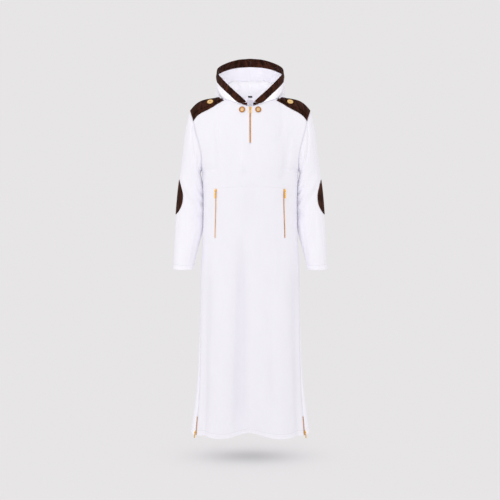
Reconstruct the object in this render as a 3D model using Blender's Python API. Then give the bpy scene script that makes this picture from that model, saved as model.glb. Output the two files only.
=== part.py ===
"""A hooded thobe: an ankle-length white robe, worn shape with no wearer.

The cloth is built as thin walls. Every piece of cloth is read from one of three smooth
surfaces (body, sleeve, hood), which short tables of real sizes describe. Pieces that meet at
a seam share their edge points and their normals there, and stop GAP / 2 short of the seam.

Frame: metres, +Z up, -Y to the front, +X to the wearer's left. The origin is the middle of
the shoulder line, where the wearer's shoulders carry the robe.
"""

import math

import bmesh
import bpy
import numpy as np
from mathutils import Matrix, Vector

MM = 0.001

# Cloth
CLOTH = 1.6 * MM  # wall of the white cloth
HALF = CLOTH / 2
TRIM = 1.2 * MM  # wall of the brown cloth
GAP = 0.3 * MM  # between pieces at a seam
LIFT = 0.6 * MM  # between a curved panel and what lies on it

# Body
HEM_Z = -1.375
ARMPIT_Z = -0.290
NECK_HALF_WIDTH = 0.112
NECK_FRONT = 0.098
NECK_BACK = 0.088
NECK_FRONT_Z = -0.0335
NECK_SIDE_Z = 0.006
NECK_BACK_Z = -0.010
NECK_U = 0.4835  # share of a panel's half width that ends at the neck, not the shoulder
NECK_FACE = 50.0  # how far a panel has turned over, in degrees, where it meets the neck
SHOULDER_FACE = 90.0  # and where it meets the shoulder line
EVEN_REACH = 0.24  # share of a panel over which its top line is evened out lower down
EVEN_POWER = 4.0  # how soon below the top the true line gives way to the even one

# Zips
SLIT_HALF = 3.5 * MM  # half the width of a zip's slit
CHAIN_HALF = 2.8 * MM
TAPE_HALF = 5.8 * MM
ZIP_END = 0.6 * MM  # a zip stops this far short of its slit's ends
NECK_ZIP_ROW = 4  # rows above the armpit where the neck zip ends
POCKET_TOP_Z = -0.362
POCKET_BOTTOM_Z = -0.561
HEM_ZIP_TOP_Z = -1.300
HEM_RISE = 0.009  # how much higher the hem is at the front than at the sides
HEM_ARCH = 0.012  # and how much higher still at the centre
POCKET_DRIFT = 0.084  # how much wider apart, in panel widths, the pocket zips end than start


def table(names, rows):
    """A table with named columns, each an array."""
    return dict(zip(names.split(), np.array(rows, float).T))


# Sections of the body below the armpit. seam: the side seam's angle from the front, degrees.
BODY = table(
    "z half_width front back seam",
    [
        (-1.375, 0.2465, 0.140, 0.142, 65),
        (-1.349, 0.2425, 0.139, 0.141, 66),
        (-1.286, 0.2335, 0.136, 0.138, 68),
        (-1.203, 0.2240, 0.133, 0.135, 70),
        (-1.120, 0.2170, 0.130, 0.132, 73),
        (-1.037, 0.2120, 0.128, 0.129, 76),
        (-0.954, 0.2085, 0.126, 0.126, 79),
        (-0.830, 0.2055, 0.124, 0.122, 83),
        (-0.705, 0.2035, 0.122, 0.117, 86),
        (-0.564, 0.1960, 0.120, 0.113, 88),
        (-0.477, 0.1930, 0.121, 0.112, 89),
        (-0.394, 0.1925, 0.127, 0.114, 90),
        (-0.290, 0.1985, 0.132, 0.121, 90),
    ],
)

# The armhole, from the armpit (rise 0) to the shoulder point (rise 1), on the wearer's left.
# turn: degrees round the sleeve from its outer point.
ARMHOLE = table(
    "rise x z front back turn",
    [
        (0.000, 0.1985, -0.290, 0.000, 0.000, 180.0),
        (0.047, 0.1970, -0.272, -0.037, 0.038, 148.5),
        (0.145, 0.1975, -0.235, -0.061, 0.064, 123.3),
        (0.283, 0.2060, -0.185, -0.071, 0.076, 98.0),
        (0.431, 0.2200, -0.137, -0.067, 0.075, 75.3),
        (0.577, 0.2290, -0.098, -0.057, 0.066, 55.0),
        (0.716, 0.2365, -0.070, -0.039, 0.047, 36.6),
        (0.859, 0.2430, -0.052, -0.018, 0.023, 18.0),
        (1.000, 0.2460, -0.046, 0.000, 0.000, 0.0),
    ],
)

# The shoulder line, from the neck (run 0) to the shoulder point (run 1).
SHOULDER = table(
    "run x z",
    [
        (0.00, 0.1120, 0.006),
        (0.17, 0.1350, 0.007),
        (0.32, 0.1550, 0.005),
        (0.50, 0.1800, 0.001),
        (0.67, 0.2025, -0.006),
        (0.81, 0.2210, -0.018),
        (0.92, 0.2357, -0.033),
        (1.00, 0.2460, -0.046),
    ],
)

# Rings of the left sleeve: the point furthest out, the point nearest the body, the reach to
# the front and back, and how much of the armhole's own shape is left in the ring.
SLEEVE = table(
    "ring outer_x outer_z inner_x inner_z front back armhole",
    [
        (0, 0.2460, -0.046, 0.1985, -0.290, -0.069, 0.075, 1.00),
        (1, 0.2525, -0.062, 0.2035, -0.2935, -0.070, 0.079, 0.80),
        (2, 0.2595, -0.092, 0.2065, -0.301, -0.070, 0.082, 0.50),
        (3, 0.2685, -0.135, 0.2065, -0.313, -0.066, 0.086, 0.24),
        (4, 0.2750, -0.185, 0.2045, -0.329, -0.060, 0.090, 0.08),
        (5, 0.2805, -0.240, 0.2005, -0.349, -0.053, 0.094, 0.00),
        (6, 0.2880, -0.300, 0.1965, -0.374, -0.046, 0.096, 0.00),
        (7, 0.2955, -0.360, 0.1940, -0.405, -0.041, 0.096, 0.00),
        (8, 0.3010, -0.418, 0.1930, -0.445, -0.040, 0.093, 0.00),
        (9, 0.3055, -0.475, 0.1940, -0.492, -0.042, 0.085, 0.00),
        (10, 0.3095, -0.535, 0.2000, -0.546, -0.048, 0.073, 0.00),
        (11, 0.3125, -0.593, 0.2145, -0.600, -0.055, 0.059, 0.00),
        (12, 0.3150, -0.647, 0.2270, -0.651, -0.061, 0.046, 0.00),
        (13, 0.3168, -0.692, 0.2365, -0.694, -0.064, 0.037, 0.00),
    ],
)

# The hood's free edge on the wearer's left, by angle round the neck from the front.
HOOD_EDGE = table(
    "angle x y z",
    [
        (16.5, 0.0160, -0.1010, -0.0165),
        (27.0, 0.0360, -0.0945, 0.0033),
        (38.0, 0.0570, -0.0840, 0.0227),
        (49.0, 0.0785, -0.0690, 0.0437),
        (60.0, 0.0985, -0.0500, 0.0652),
        (75.0, 0.1210, -0.0180, 0.0917),
        (90.0, 0.1345, 0.0180, 0.112),
        (105.0, 0.1355, 0.0540, 0.134),
        (120.0, 0.1240, 0.0900, 0.151),
        (135.0, 0.1020, 0.1180, 0.166),
        (150.0, 0.0720, 0.1370, 0.179),
        (165.0, 0.0375, 0.1470, 0.1875),
        (180.0, 0.0000, 0.1500, 0.190),
    ],
)

# The hood's section at the centre back, from the neck seam over the inner ridge, down into
# the hanging bag and up to the free edge.
HOOD_BACK = table(
    "share y z",
    [
        (0.000, 0.088, -0.010),
        (0.070, 0.092, 0.040),
        (0.130, 0.100, 0.075),
        (0.175, 0.112, 0.091),
        (0.215, 0.126, 0.085),
        (0.290, 0.137, 0.046),
        (0.375, 0.143, 0.004),
        (0.455, 0.153, -0.034),
        (0.505, 0.171, -0.045),
        (0.560, 0.189, -0.024),
        (0.655, 0.196, 0.022),
        (0.765, 0.192, 0.076),
        (0.880, 0.178, 0.130),
        (0.950, 0.162, 0.168),
        (1.000, 0.150, 0.190),
    ],
)
HOOD_BULGE = 0.013  # how far the hood's side stands out past a straight line

# Folds of the body: each a soft trough (depth < 0) or ridge along a line in X and Z.
# panel: -1 front, 1 back.
FOLDS = table(
    "panel x0 z0 x1 z1 bow width0 width1 depth0 depth_mid depth1",
    [
        (-1, -0.020, -0.330, -0.006, -1.375, -0.012, 0.026, 0.060, 0.000, -0.020, -0.045),
        (-1, -0.120, -0.620, -0.125, -1.375, 0.000, 0.050, 0.060, 0.000, 0.004, 0.008),
        (-1, 0.120, -0.620, 0.140, -1.375, 0.004, 0.050, 0.060, 0.000, 0.006, 0.012),
        (-1, -0.172, -0.560, -0.196, -1.375, -0.004, 0.016, 0.020, 0.000, -0.007, -0.012),
        (-1, 0.178, -0.560, 0.203, -1.375, 0.004, 0.018, 0.022, 0.000, -0.008, -0.014),
        (-1, 0.162, -0.130, 0.150, -0.345, -0.012, 0.016, 0.020, 0.000, -0.006, 0.000),
        (-1, -0.156, -0.150, -0.163, -0.345, 0.006, 0.016, 0.020, 0.000, -0.004, 0.000),
        (1, 0.060, -0.420, 0.082, -1.375, 0.006, 0.026, 0.050, 0.000, -0.011, -0.024),
        (1, -0.070, -0.450, -0.090, -1.375, -0.006, 0.026, 0.050, 0.000, -0.010, -0.022),
        (1, 0.000, -0.600, -0.004, -1.375, 0.000, 0.040, 0.060, 0.000, 0.003, 0.006),
        (1, 0.170, -0.600, 0.190, -1.375, 0.000, 0.016, 0.022, 0.000, -0.007, -0.012),
        (1, -0.172, -0.620, -0.192, -1.375, 0.000, 0.016, 0.022, 0.000, -0.006, -0.012),
    ],
)

SEAM_CALM = 0.22  # share of a panel's half over which the folds die away at its side

# Grid lines of a body panel's half, from the centre (0) to the side (1), and of its rows.
PANEL_U = (
    *(0.095, 0.155, 0.217, 0.280, 0.343, 0.425, NECK_U, 0.5165),
    *(0.60, 0.67, 0.74, 0.81, 0.87, 0.92, 0.96, 1.0),
)
SKIRT_Z = (
    *(HEM_Z, HEM_ZIP_TOP_Z, -1.19, -1.06, -0.93, -0.80, -0.68),
    *(POCKET_BOTTOM_Z, -0.464, POCKET_TOP_Z, -0.325),
)
RISES = (0, 0.06, 0.14, 0.26, 0.39, 0.5, 0.6, 0.7, 0.8, 0.9, 1)  # rows, armpit to shoulder
SLEEVE_WAYS = np.array([*(r - 1 for r in RISES), *(1 - r for r in RISES[-2::-1])])
HOOD_ANGLES = tuple(90 * u / NECK_U for u in PANEL_U[:7])
HOOD_SHARES = (0, 0.07, 0.13, 0.175, 0.215, 0.29, 0.375, 0.455, 0.505, 0.56, 0.655, 0.765, 0.865)

# Slits for the zips: the grid columns each side, and the rows.
SLIT_U = tuple(x / NECK_HALF_WIDTH * NECK_U * 2 / math.pi for x in (-SLIT_HALF, SLIT_HALF))
MIDDLE = len(PANEL_U)
NECK_SLIT = [MIDDLE, MIDDLE + 1], list(range(len(SKIRT_Z) + NECK_ZIP_ROW, len(SKIRT_Z) + len(RISES)))
POCKET_ROWS = list(range(SKIRT_Z.index(POCKET_BOTTOM_Z), SKIRT_Z.index(POCKET_TOP_Z) + 1))
BESIDE = PANEL_U.index(NECK_U)
LEFT_POCKET_SLIT = [MIDDLE + 2 + BESIDE, MIDDLE + 3 + BESIDE], POCKET_ROWS
RIGHT_POCKET_SLIT = [MIDDLE - 2 - BESIDE, MIDDLE - 1 - BESIDE], POCKET_ROWS

# Width of the hood's band round the free edge, by angle round the neck.
BAND = table(
    "angle width",
    [
        *((17, 0.0157), (27, 0.0235), (38, 0.0248), (52, 0.0263), (60, 0.0284), (67, 0.0297)),
        *((75, 0.0312), (90, 0.0330), (120, 0.0340), (180, 0.0345)),
    ],
)

# What lies on a panel, as corners in its (across, up) values, anticlockwise from outside.
SHOULDER_PATCH = [
    *((0.387, 0.878), (0.455, 0.799), (0.518, 0.747), (0.594, 0.687), (0.690, 0.650)),
    *((0.770, 0.629), (0.850, 0.615), (0.995, 0.610), (0.995, 1.001), (0.530, 1.001)),
]
EPAULETTE = [
    *((0.618, 0.716), (0.800, 0.700), (0.995, 0.699), (0.995, 0.996)),
    *((0.566, 0.996), (0.480, 0.836)),
]
FLAP_RISE = 3.5 * MM  # how far an epaulette's end at the neck stands off the shoulder
FLAP_START = 0.152  # the X at which it begins to
FLAP_RUN = 0.030
EPAULETTE_BUTTON = (0.660, 0.796)
NECK_BUTTON = (0.093, 0.880)
ELBOW_CENTRE = (6.0, 7.75)  # degrees round the sleeve from its outer point, and ring
ELBOW_HALF = (53.0, 1.24)
ELBOW_SIDES = 20
POCKET = [  # up is in metres above the armpit there
    *((-0.60, -0.290), (0.60, -0.290), (0.60, -0.071), (0.30, -0.063)),
    *((0.0, -0.060), (-0.30, -0.063), (-0.60, -0.071)),
]
NECK_TAPE = [(-0.42, 0.935), (0.42, 0.935), (0.42, 0.999), (-0.42, 0.999)]
STRIP_U = 0.036
STRIP_ANGLE = 180 - 90 * STRIP_U / NECK_U
STRIP_LOW = [(-STRIP_U, 0.937), (STRIP_U, 0.937), (STRIP_U, 1.001), (-STRIP_U, 1.001)]
STRIP_TOP = [(STRIP_ANGLE, -1), (181, -1), (181, 0.0255), (STRIP_ANGLE, 0.0255)]
LABEL_PLACE = [(175.5, 0.035), (181, 0.035), (181, 0.046), (175.5, 0.046)]
INSIDE_ZIPS = 2.5 * MM  # clear of the zips' tapes, behind a panel

# Zip hardware, in the slider's own frame: across the zip, down it, and out of the cloth.
SLIDER_TOP = 9.6 * MM  # width of the slider at its top end
SLIDER_LOW = 7.4 * MM
SLIDER_LENGTH = 11.0 * MM
PLATE = 1.8 * MM
CHEEK = 1.1 * MM
CHEEK_GAP = 4.0 * MM
PIN_RADIUS = 0.8 * MM
PIN_HEIGHT = PLATE + 2.6 * MM
PIN_DOWN = 2.5 * MM  # how far the pin is below the slider's middle
EYE_OUTER = 2.2 * MM
EYE_INNER = 1.1 * MM
EYE_WIDTH = 3.3 * MM
PULL_HALF = 3.1 * MM
PULL_THICK = 1.3 * MM
BUTTON_RADIUS = 12.5 * MM

# Looks: colour, roughness, metallic.
WHITE = ((0.90, 0.90, 0.93), 0.85, 0.0)
BROWN = ((0.045, 0.018, 0.012), 0.70, 0.0)
GOLD = ((0.80, 0.48, 0.16), 0.30, 1.0)
BUTTON = ((0.85, 0.58, 0.25), 0.35, 0.6)
CHAIN = ((0.62, 0.38, 0.18), 0.40, 0.7)
LABEL = ((0.06, 0.05, 0.05), 0.80, 0.0)
STRIP = ((0.62, 0.62, 0.64), 0.80, 0.0)


# ---------------------------------------------------------------- curves


def smooth(keys, values, at):
    """A smooth curve through (key, value) pairs: Hermite pieces with difference slopes."""
    slopes = np.gradient(values, keys)
    at = np.clip(at, keys[0], keys[-1])
    i = np.clip(np.searchsorted(keys, at, side="right") - 1, 0, len(keys) - 2)
    step = keys[i + 1] - keys[i]
    t = (at - keys[i]) / step
    low = values[i] * (1 + 2 * t) * (1 - t) ** 2 + slopes[i] * step * t * (1 - t) ** 2
    high = values[i + 1] * t * t * (3 - 2 * t) - slopes[i + 1] * step * t * t * (1 - t)
    return low + high


def read(from_table, column, key, at):
    return smooth(from_table[key], from_table[column], at)


def ease(t):
    """0 to 1 with level ends."""
    t = np.clip(t, 0.0, 1.0)
    return t * t * (3 - 2 * t)


# ---------------------------------------------------------------- the body's surface


def fold_depth(panel, x, z):
    """How far the folds move the body's surface outwards at (x, z)."""
    total = np.zeros(np.broadcast(x, z).shape)
    for i in np.flatnonzero(FOLDS["panel"] == panel):
        f = {name: column[i] for name, column in FOLDS.items()}
        run_x, run_z = f["x1"] - f["x0"], f["z1"] - f["z0"]
        length = math.hypot(run_x, run_z)
        t = np.clip(((x - f["x0"]) * run_x + (z - f["z0"]) * run_z) / length**2, 0, 1)
        bow = 4 * f["bow"] * t * (1 - t)
        off_x = x - f["x0"] - t * run_x + bow * run_z / length
        off_z = z - f["z0"] - t * run_z - bow * run_x / length
        width = f["width0"] + t * (f["width1"] - f["width0"])
        ends = f["depth0"] * (1 - t) * (1 - 2 * t) + f["depth1"] * t * (2 * t - 1)
        depth = ends + 4 * f["depth_mid"] * t * (1 - t)
        total += depth * np.exp(-(off_x**2 + off_z**2) / width**2)
    return total


def skirt_point(panel, u, z):
    """The body's surface below the armpit. u runs from -1 to 1 across the panel."""
    drift = POCKET_DRIFT * ease((POCKET_TOP_Z - z) / (POCKET_TOP_Z - POCKET_BOTTOM_Z))
    u = u * (1 + drift * (1 - np.abs(u)))
    seam = np.radians(read(BODY, "seam", "z", z))
    angle = u * seam if panel < 0 else math.pi - u * (math.pi - seam)
    half_width = read(BODY, "half_width", "z", z)
    ahead = np.cos(angle)
    depth = np.where(ahead > 0, read(BODY, "front", "z", z), read(BODY, "back", "z", z))
    x, y = half_width * np.sin(angle), -depth * ahead
    fold = fold_depth(panel, x, z) * ease((1 - np.abs(u)) / SEAM_CALM)
    out_x, out_y = np.sin(angle) / half_width, -ahead / depth
    size = np.hypot(out_x, out_y)
    return np.stack([x + fold * out_x / size, y + fold * out_y / size, z + 0 * x], -1)


def neck_point(panel, u):
    """The neckline, which is the top of a panel where |u| is under NECK_U."""
    angle = np.radians(90 * u / NECK_U)
    middle_y = -NECK_FRONT if panel < 0 else NECK_BACK
    middle_z = NECK_FRONT_Z if panel < 0 else NECK_BACK_Z
    climb = np.abs(np.sin(angle)) ** 1.1 if panel < 0 else 1 - np.cos(angle)
    z = middle_z + (NECK_SIDE_Z - middle_z) * climb
    return np.stack([NECK_HALF_WIDTH * np.sin(angle), middle_y * np.cos(angle), z], -1)


def shoulder_point(u):
    run = np.clip((np.abs(u) - NECK_U) / (1 - NECK_U), 0, 1)
    x, z = read(SHOULDER, "x", "run", run), read(SHOULDER, "z", "run", run)
    return np.stack([np.sign(u) * x, 0 * x, z], -1)


def top_point(panel, u):
    at_neck = (np.abs(u) < NECK_U)[..., None]
    return np.where(at_neck, neck_point(panel, u), shoulder_point(u))


def even_top(panel, u):
    """The top line with the corner between neck and shoulder evened out."""
    reach = EVEN_REACH * np.clip((1 - np.abs(u)) / 0.3, 0, 1)
    shares = np.linspace(-1, 1, 9)
    weights = 1 - np.abs(shares) * 0.8
    total = sum(w * top_point(panel, u + s * reach) for w, s in zip(weights, shares))
    return total / weights.sum()


def armhole_point(panel, side, rise):
    x = side * read(ARMHOLE, "x", "rise", rise)
    front, back = (read(ARMHOLE, name, "rise", rise) for name in ("front", "back"))
    y = np.where(np.asarray(panel) < 0, front, back)
    return np.stack([x, y, read(ARMHOLE, "z", "rise", rise)], -1)


def upper_point(panel, u, rise):
    """The body's surface from the armpit (rise 0) to the neck and shoulder line (rise 1)."""
    u, rise = np.broadcast_arrays(np.asarray(u, float), np.asarray(rise, float))
    low = skirt_point(panel, u, np.full(u.shape, ARMPIT_Z))
    even = even_top(panel, u)
    top = even + (top_point(panel, u) - even) * (rise**EVEN_POWER)[..., None]
    turned = ease(np.abs(u) / NECK_U)
    face = np.radians(NECK_FACE + (SHOULDER_FACE - NECK_FACE) * turned)
    up = (np.sin(rise * face) / np.sin(face))[..., None]
    back = ((1 - np.cos(rise * face)) / (1 - np.cos(face)))[..., None]
    share = np.concatenate([rise[..., None], back, up], -1)
    point = low + (top - low) * share
    side = np.where(u < 0, -1.0, 1.0)
    corner = np.stack([side * BODY["half_width"][-1], 0 * u, 0 * u + ARMPIT_Z], -1)
    tip = np.stack([side * SHOULDER["x"][-1], 0 * u, 0 * u + SHOULDER["z"][-1]], -1)
    lift = np.stack([rise, 1 - np.cos(rise * math.pi / 2), np.sin(rise * math.pi / 2)], -1)
    straight = corner + (tip - corner) * lift
    pull = (np.abs(u) ** 3)[..., None]
    point = point + pull * (armhole_point(panel, side, rise) - straight)
    fold = fold_depth(panel, point[..., 0], point[..., 2]) * ease((1 - np.abs(u)) / SEAM_CALM)
    point[..., 1] += panel * fold * (rise > 0)
    return point


def flap_rise(points):
    """How far an epaulette stands off its patch at some points, besides the gap."""
    return FLAP_RISE * ease((FLAP_START - np.abs(points[:, 0])) / FLAP_RUN)


def panel_u(middle):
    """A panel's grid lines, from the wearer's right to left; middle is one or two lines."""
    return np.array([-u for u in reversed(PANEL_U)] + list(middle) + list(PANEL_U))


def body_grid(panel, middle):
    """Rows from the hem up. The front's columns run to +X and the back's to -X, so that
    columns crossed with rows point out of the cloth."""
    u = panel_u(middle)[:: -panel]
    rise = HEM_RISE * ease((1 - np.abs(u)) / 0.35) + HEM_ARCH * np.exp(-((u / 0.24) ** 2))
    rows = [skirt_point(panel, u, HEM_Z + (rise if panel < 0 else 0 * u))]
    rows += [skirt_point(panel, u, np.full(u.shape, z)) for z in SKIRT_Z[1:]]
    rows += [upper_point(panel, u, rise) for rise in RISES]
    return np.array(rows)


# ---------------------------------------------------------------- the sleeve's surface


def sleeve_point(ring, way):
    """The left sleeve. way: round the ring, from 0 at the shoulder to 1 at the armpit over
    the front, or to -1 over the back."""
    ring, way = np.broadcast_arrays(np.asarray(ring, float), np.asarray(way, float))
    s = {name: read(SLEEVE, name, "ring", ring) for name in SLEEVE if name != "ring"}
    rise = 1 - np.abs(way)
    turn = np.radians(np.sign(way) * read(ARMHOLE, "turn", "rise", rise))

    def oval(s):
        x = (s["outer_x"] + s["inner_x"] + np.cos(turn) * (s["outer_x"] - s["inner_x"])) / 2
        z = (s["outer_z"] + s["inner_z"] + np.cos(turn) * (s["outer_z"] - s["inner_z"])) / 2
        y = (s["front"] + s["back"] + np.sin(turn) * (s["front"] - s["back"])) / 2
        return np.stack([x, y, z], -1)

    first = oval({name: column[0] for name, column in SLEEVE.items()})
    seam = armhole_point(np.where(way > 0, -1, 1), 1, rise)
    return oval(s) + s["armhole"][..., None] * (seam - first)


def sleeve_grid(side):
    """Rows from the armhole down, closed round; side is 1 for the wearer's left."""
    grid = np.array([sleeve_point(ring, SLEEVE_WAYS) for ring in SLEEVE["ring"]])
    if side < 0:
        grid = grid[:, ::-1] * (-1, 1, 1)
    grid[:, -1] = grid[:, 0]
    return grid


# ---------------------------------------------------------------- the hood's surface


def hood_point(angle, share):
    """The hood at an angle round the neck (0 front, 180 back, negative on the wearer's
    right) and a share of the way from the neck seam to the free edge."""
    angle, share = np.broadcast_arrays(np.asarray(angle, float), np.asarray(share, float))
    side, angle = np.where(angle < 0, -1.0, 1.0), np.abs(angle)
    front = angle <= 90
    u = np.where(front, angle, 180 - angle) * NECK_U / 90
    neck = np.where(front[..., None], neck_point(-1, u), neck_point(1, u))
    edge = np.stack([read(HOOD_EDGE, name, "angle", angle) for name in "xyz"], -1)
    straight = neck + (edge - neck) * share[..., None]
    bag = ease((angle - 92) / 62)
    bag_y = read(HOOD_BACK, "y", "share", share)
    bag_z = read(HOOD_BACK, "z", "share", share)
    bag_y = bag_y - (HOOD_BACK["y"][0] + (HOOD_BACK["y"][-1] - HOOD_BACK["y"][0]) * share)
    bag_z = bag_z - (HOOD_BACK["z"][0] + (HOOD_BACK["z"][-1] - HOOD_BACK["z"][0]) * share)
    bulge = HOOD_BULGE * ease((angle - 14) / 62) * np.sin(math.pi * share**0.7) * (1 - bag)
    out = bulge + bag * bag_y
    turn = np.radians(angle)
    shift = np.stack([out * np.sin(turn), -out * np.cos(turn), bag * bag_z], -1)
    return (straight + shift) * np.stack([side, 0 * side + 1, 0 * side + 1], -1)


def band_share(angle):
    """The share of the hood's section at which the band begins."""
    shares = np.linspace(1, 0, 401)
    line = hood_point(angle, shares)
    run = np.concatenate([[0], np.cumsum(np.linalg.norm(np.diff(line, axis=0), axis=1))])
    return float(np.interp(read(BAND, "width", "angle", abs(angle)), run, shares))


def hood_grid(side):
    """Half a hood, rows from the neck seam to the free edge; the band covers the last three."""
    angles = [*HOOD_ANGLES, *(180 - a for a in reversed(HOOD_ANGLES[:-1])), 180]
    columns = []
    for angle in angles:
        start = band_share(angle)
        shares = np.array([s / HOOD_SHARES[-1] * start for s in HOOD_SHARES])
        shares = np.append(shares, [(1 + start) / 2, 1.0])
        columns.append(hood_point(side * angle, shares))
    grid = np.array(columns[::side]).swapaxes(0, 1)
    grid[:, -1 if side > 0 else 0, 0] = 0
    return grid


# ---------------------------------------------------------------- walls


def key(point):
    return tuple(np.round(point / (0.02 * MM)).astype(int))


def shared_normals(groups):
    """A normal for each point of each grid. Inside a group of grids it is the mean over the
    cells that meet at the point; where groups meet it halves the angle between them."""
    total = {}
    for grids in groups:
        sums = {}
        for grid in grids.values():
            across = grid[1:, 1:] - grid[:-1, :-1]
            along = grid[1:, :-1] - grid[:-1, 1:]
            cells = np.cross(across, along)
            for i, j in np.ndindex(cells.shape[:2]):
                for corner in (grid[i, j], grid[i, j + 1], grid[i + 1, j], grid[i + 1, j + 1]):
                    sums[key(corner)] = sums.get(key(corner), 0) + cells[i, j]
        for place, normal in sums.items():
            total[place] = total.get(place, 0) + normal / np.linalg.norm(normal)
    found = {}
    for grids in groups:
        for name, grid in grids.items():
            normals = np.array([[total[key(point)] for point in row] for row in grid])
            found[name] = normals / np.linalg.norm(normals, axis=-1, keepdims=True)
    return found


def pulled_in(grid, sides="bottom top left right", by=GAP / 2):
    """The grid with its edges moved in along the cloth. by may be one number for each row."""
    grid = grid.copy()
    by = np.broadcast_to(by, grid.shape[0])[:, None]

    def step(edge, inner, size):
        return (inner - edge) / np.linalg.norm(inner - edge, axis=-1, keepdims=True) * size

    if "left" in sides:
        grid[:, 0] += step(grid[:, 0], grid[:, 1], by)
    if "right" in sides:
        grid[:, -1] += step(grid[:, -1], grid[:, -2], by)
    if "bottom" in sides:
        grid[0] += step(grid[0], grid[1], GAP / 2)
    if "top" in sides:
        grid[-1] += step(grid[-1], grid[-2], GAP / 2)
    return grid


def triangles(quad, points):
    """A four-sided face as two triangles, split along its shorter diagonal."""
    a, b, c, d = quad
    if np.linalg.norm(points[a] - points[c]) <= np.linalg.norm(points[b] - points[d]):
        return [(a, b, c), (a, c, d)]
    return [(a, b, d), (b, c, d)]


def material(name, look):
    colour, roughness, metallic = look
    made = bpy.data.materials.new(name)
    made.use_nodes = True
    shader = made.node_tree.nodes["Principled BSDF"]
    shader.inputs["Base Color"].default_value = (*colour, 1.0)
    shader.inputs["Roughness"].default_value = roughness
    shader.inputs["Metallic"].default_value = metallic
    return made


def add_mesh(name, mesh, look):
    mesh.materials.clear()
    mesh.materials.append(material(name, look))
    mesh.shade_smooth()
    mesh.set_sharp_from_angle(angle=math.radians(40))
    obj = bpy.data.objects.new(name, mesh)
    bpy.context.scene.collection.objects.link(obj)
    return obj


def closed_mesh(name, points, faces):
    mesh = bpy.data.meshes.new(name)
    mesh.from_pydata([tuple(p) for p in points], [], faces)
    work = bmesh.new()
    work.from_mesh(mesh)
    bmesh.ops.recalc_face_normals(work, faces=work.faces)
    work.to_mesh(mesh)
    work.free()
    return mesh


def sheet(name, points, normals, faces, look, low=-HALF, high=HALF):
    """A closed wall between two copies of a sheet, moved low and high along its normals."""
    count = len(points)
    outer, inner = points + normals * high, points + normals * low
    edges = {(f[i], f[(i + 1) % len(f)]) for f in faces for i in range(len(f))}
    both = np.concatenate([outer, inner])
    closed = list(faces) + [tuple(v + count for v in reversed(f)) for f in faces]
    for a, b in sorted(edges):
        if (b, a) not in edges:
            closed += triangles((b, a, a + count, b + count), both)
    return add_mesh(name, closed_mesh(name, both, closed), look)


def wall(name, grid, normals, look, closed=False, holes=()):
    """A wall of cloth on a grid of points."""
    rows, columns = grid.shape[:2]
    wrap = columns - 1 if closed else columns
    points = grid[:, :wrap].reshape(-1, 3)
    directions = normals[:, :wrap].reshape(-1, 3)
    faces = []
    for i, j in np.ndindex(rows - 1, columns - 1):
        if (i, j) not in holes:
            low, high, right = i * wrap, (i + 1) * wrap, (j + 1) % wrap
            faces += triangles((low + j, low + right, high + right, high + j), points)
    used = sorted({v for face in faces for v in face})
    number = {v: n for n, v in enumerate(used)}
    faces = [tuple(number[v] for v in face) for face in faces]
    return sheet(name, points[used], directions[used], faces, look)


def clipped(corners, region):
    """A polygon of (across, up, ...) rows, cut to a convex region of (across, up)."""
    for (ax, ay), (bx, by) in zip(region, region[1:] + region[:1]):
        kept = []
        depth = [(bx - ax) * (c[1] - ay) - (by - ay) * (c[0] - ax) for c in corners]
        for n, corner in enumerate(corners):
            if depth[n] >= 0:
                kept.append(corner)
            if (depth[n] >= 0) != (depth[n - 1] >= 0):
                share = depth[n - 1] / (depth[n - 1] - depth[n])
                crossing = corners[n - 1] + (corner - corners[n - 1]) * share
                kept.insert(len(kept) - (depth[n] >= 0), crossing)
        corners = kept
        if not corners:
            break
    return corners


def cut_out(*panels):
    """What lies on some panels: points, normals and faces on the panels' own triangles.
    Each panel is (grid, normals, across values, up values, region)."""
    points, normals, faces, number = [], [], [], {}
    for grid, directions, across, up, region in panels:
        wide = np.broadcast_to(np.asarray(across)[None, :, None], (*grid.shape[:2], 1))
        tall = np.broadcast_to(np.asarray(up)[:, None, None], (*grid.shape[:2], 1))
        data = np.concatenate([wide, tall, grid, directions], -1)
        columns = grid.shape[1]
        flat = grid.reshape(-1, 3)
        rows = data.reshape(-1, 8)
        for i, j in np.ndindex(grid.shape[0] - 1, columns - 1):
            low, high = i * columns + j, (i + 1) * columns + j
            for corners in triangles((low, low + 1, high + 1, high), flat):
                face = []
                for row in clipped([rows[v] for v in corners], region):
                    if key(row[2:5]) not in number:
                        number[key(row[2:5])] = len(points)
                        points.append(row[2:5])
                        normals.append(row[5:])
                    face.append(number[key(row[2:5])])
                face = [v for n, v in enumerate(face) if v != face[n - 1]]
                if len(face) > 2:
                    faces.append(tuple(face))
    return np.array(points), np.array(normals), faces


# ---------------------------------------------------------------- hard pieces


def frame_matrix(origin, across, down, out):
    """A placement whose X, Y and Z are across, down and out."""
    axes = np.column_stack([across, down, out])
    return Matrix.Translation(Vector(origin)) @ Matrix(axes.tolist()).to_4x4()


def prism(name, outline, low, high, axis=2):
    """A closed solid: an outline of (a, b) corners carried from low to high along an axis."""
    count = len(outline)
    order = {2: (0, 1, 2), 0: (2, 0, 1)}[axis]
    points = [(a, b, level) for level in (low, high) for a, b in outline]
    points = [tuple(p[order[k]] for k in range(3)) for p in points]
    faces = [tuple(range(count)), tuple(range(count, 2 * count))]
    faces += [(n, (n + 1) % count, (n + 1) % count + count, n + count) for n in range(count)]
    mesh = closed_mesh(name, points, faces)
    obj = bpy.data.objects.new(name, mesh)
    bpy.context.scene.collection.objects.link(obj)
    return obj


def circle(radius, sides, centre=(0, 0)):
    turns = [2 * math.pi * (n + 0.5) / sides for n in range(sides)]
    return [(centre[0] + radius * math.cos(t), centre[1] + radius * math.sin(t)) for t in turns]


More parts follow.
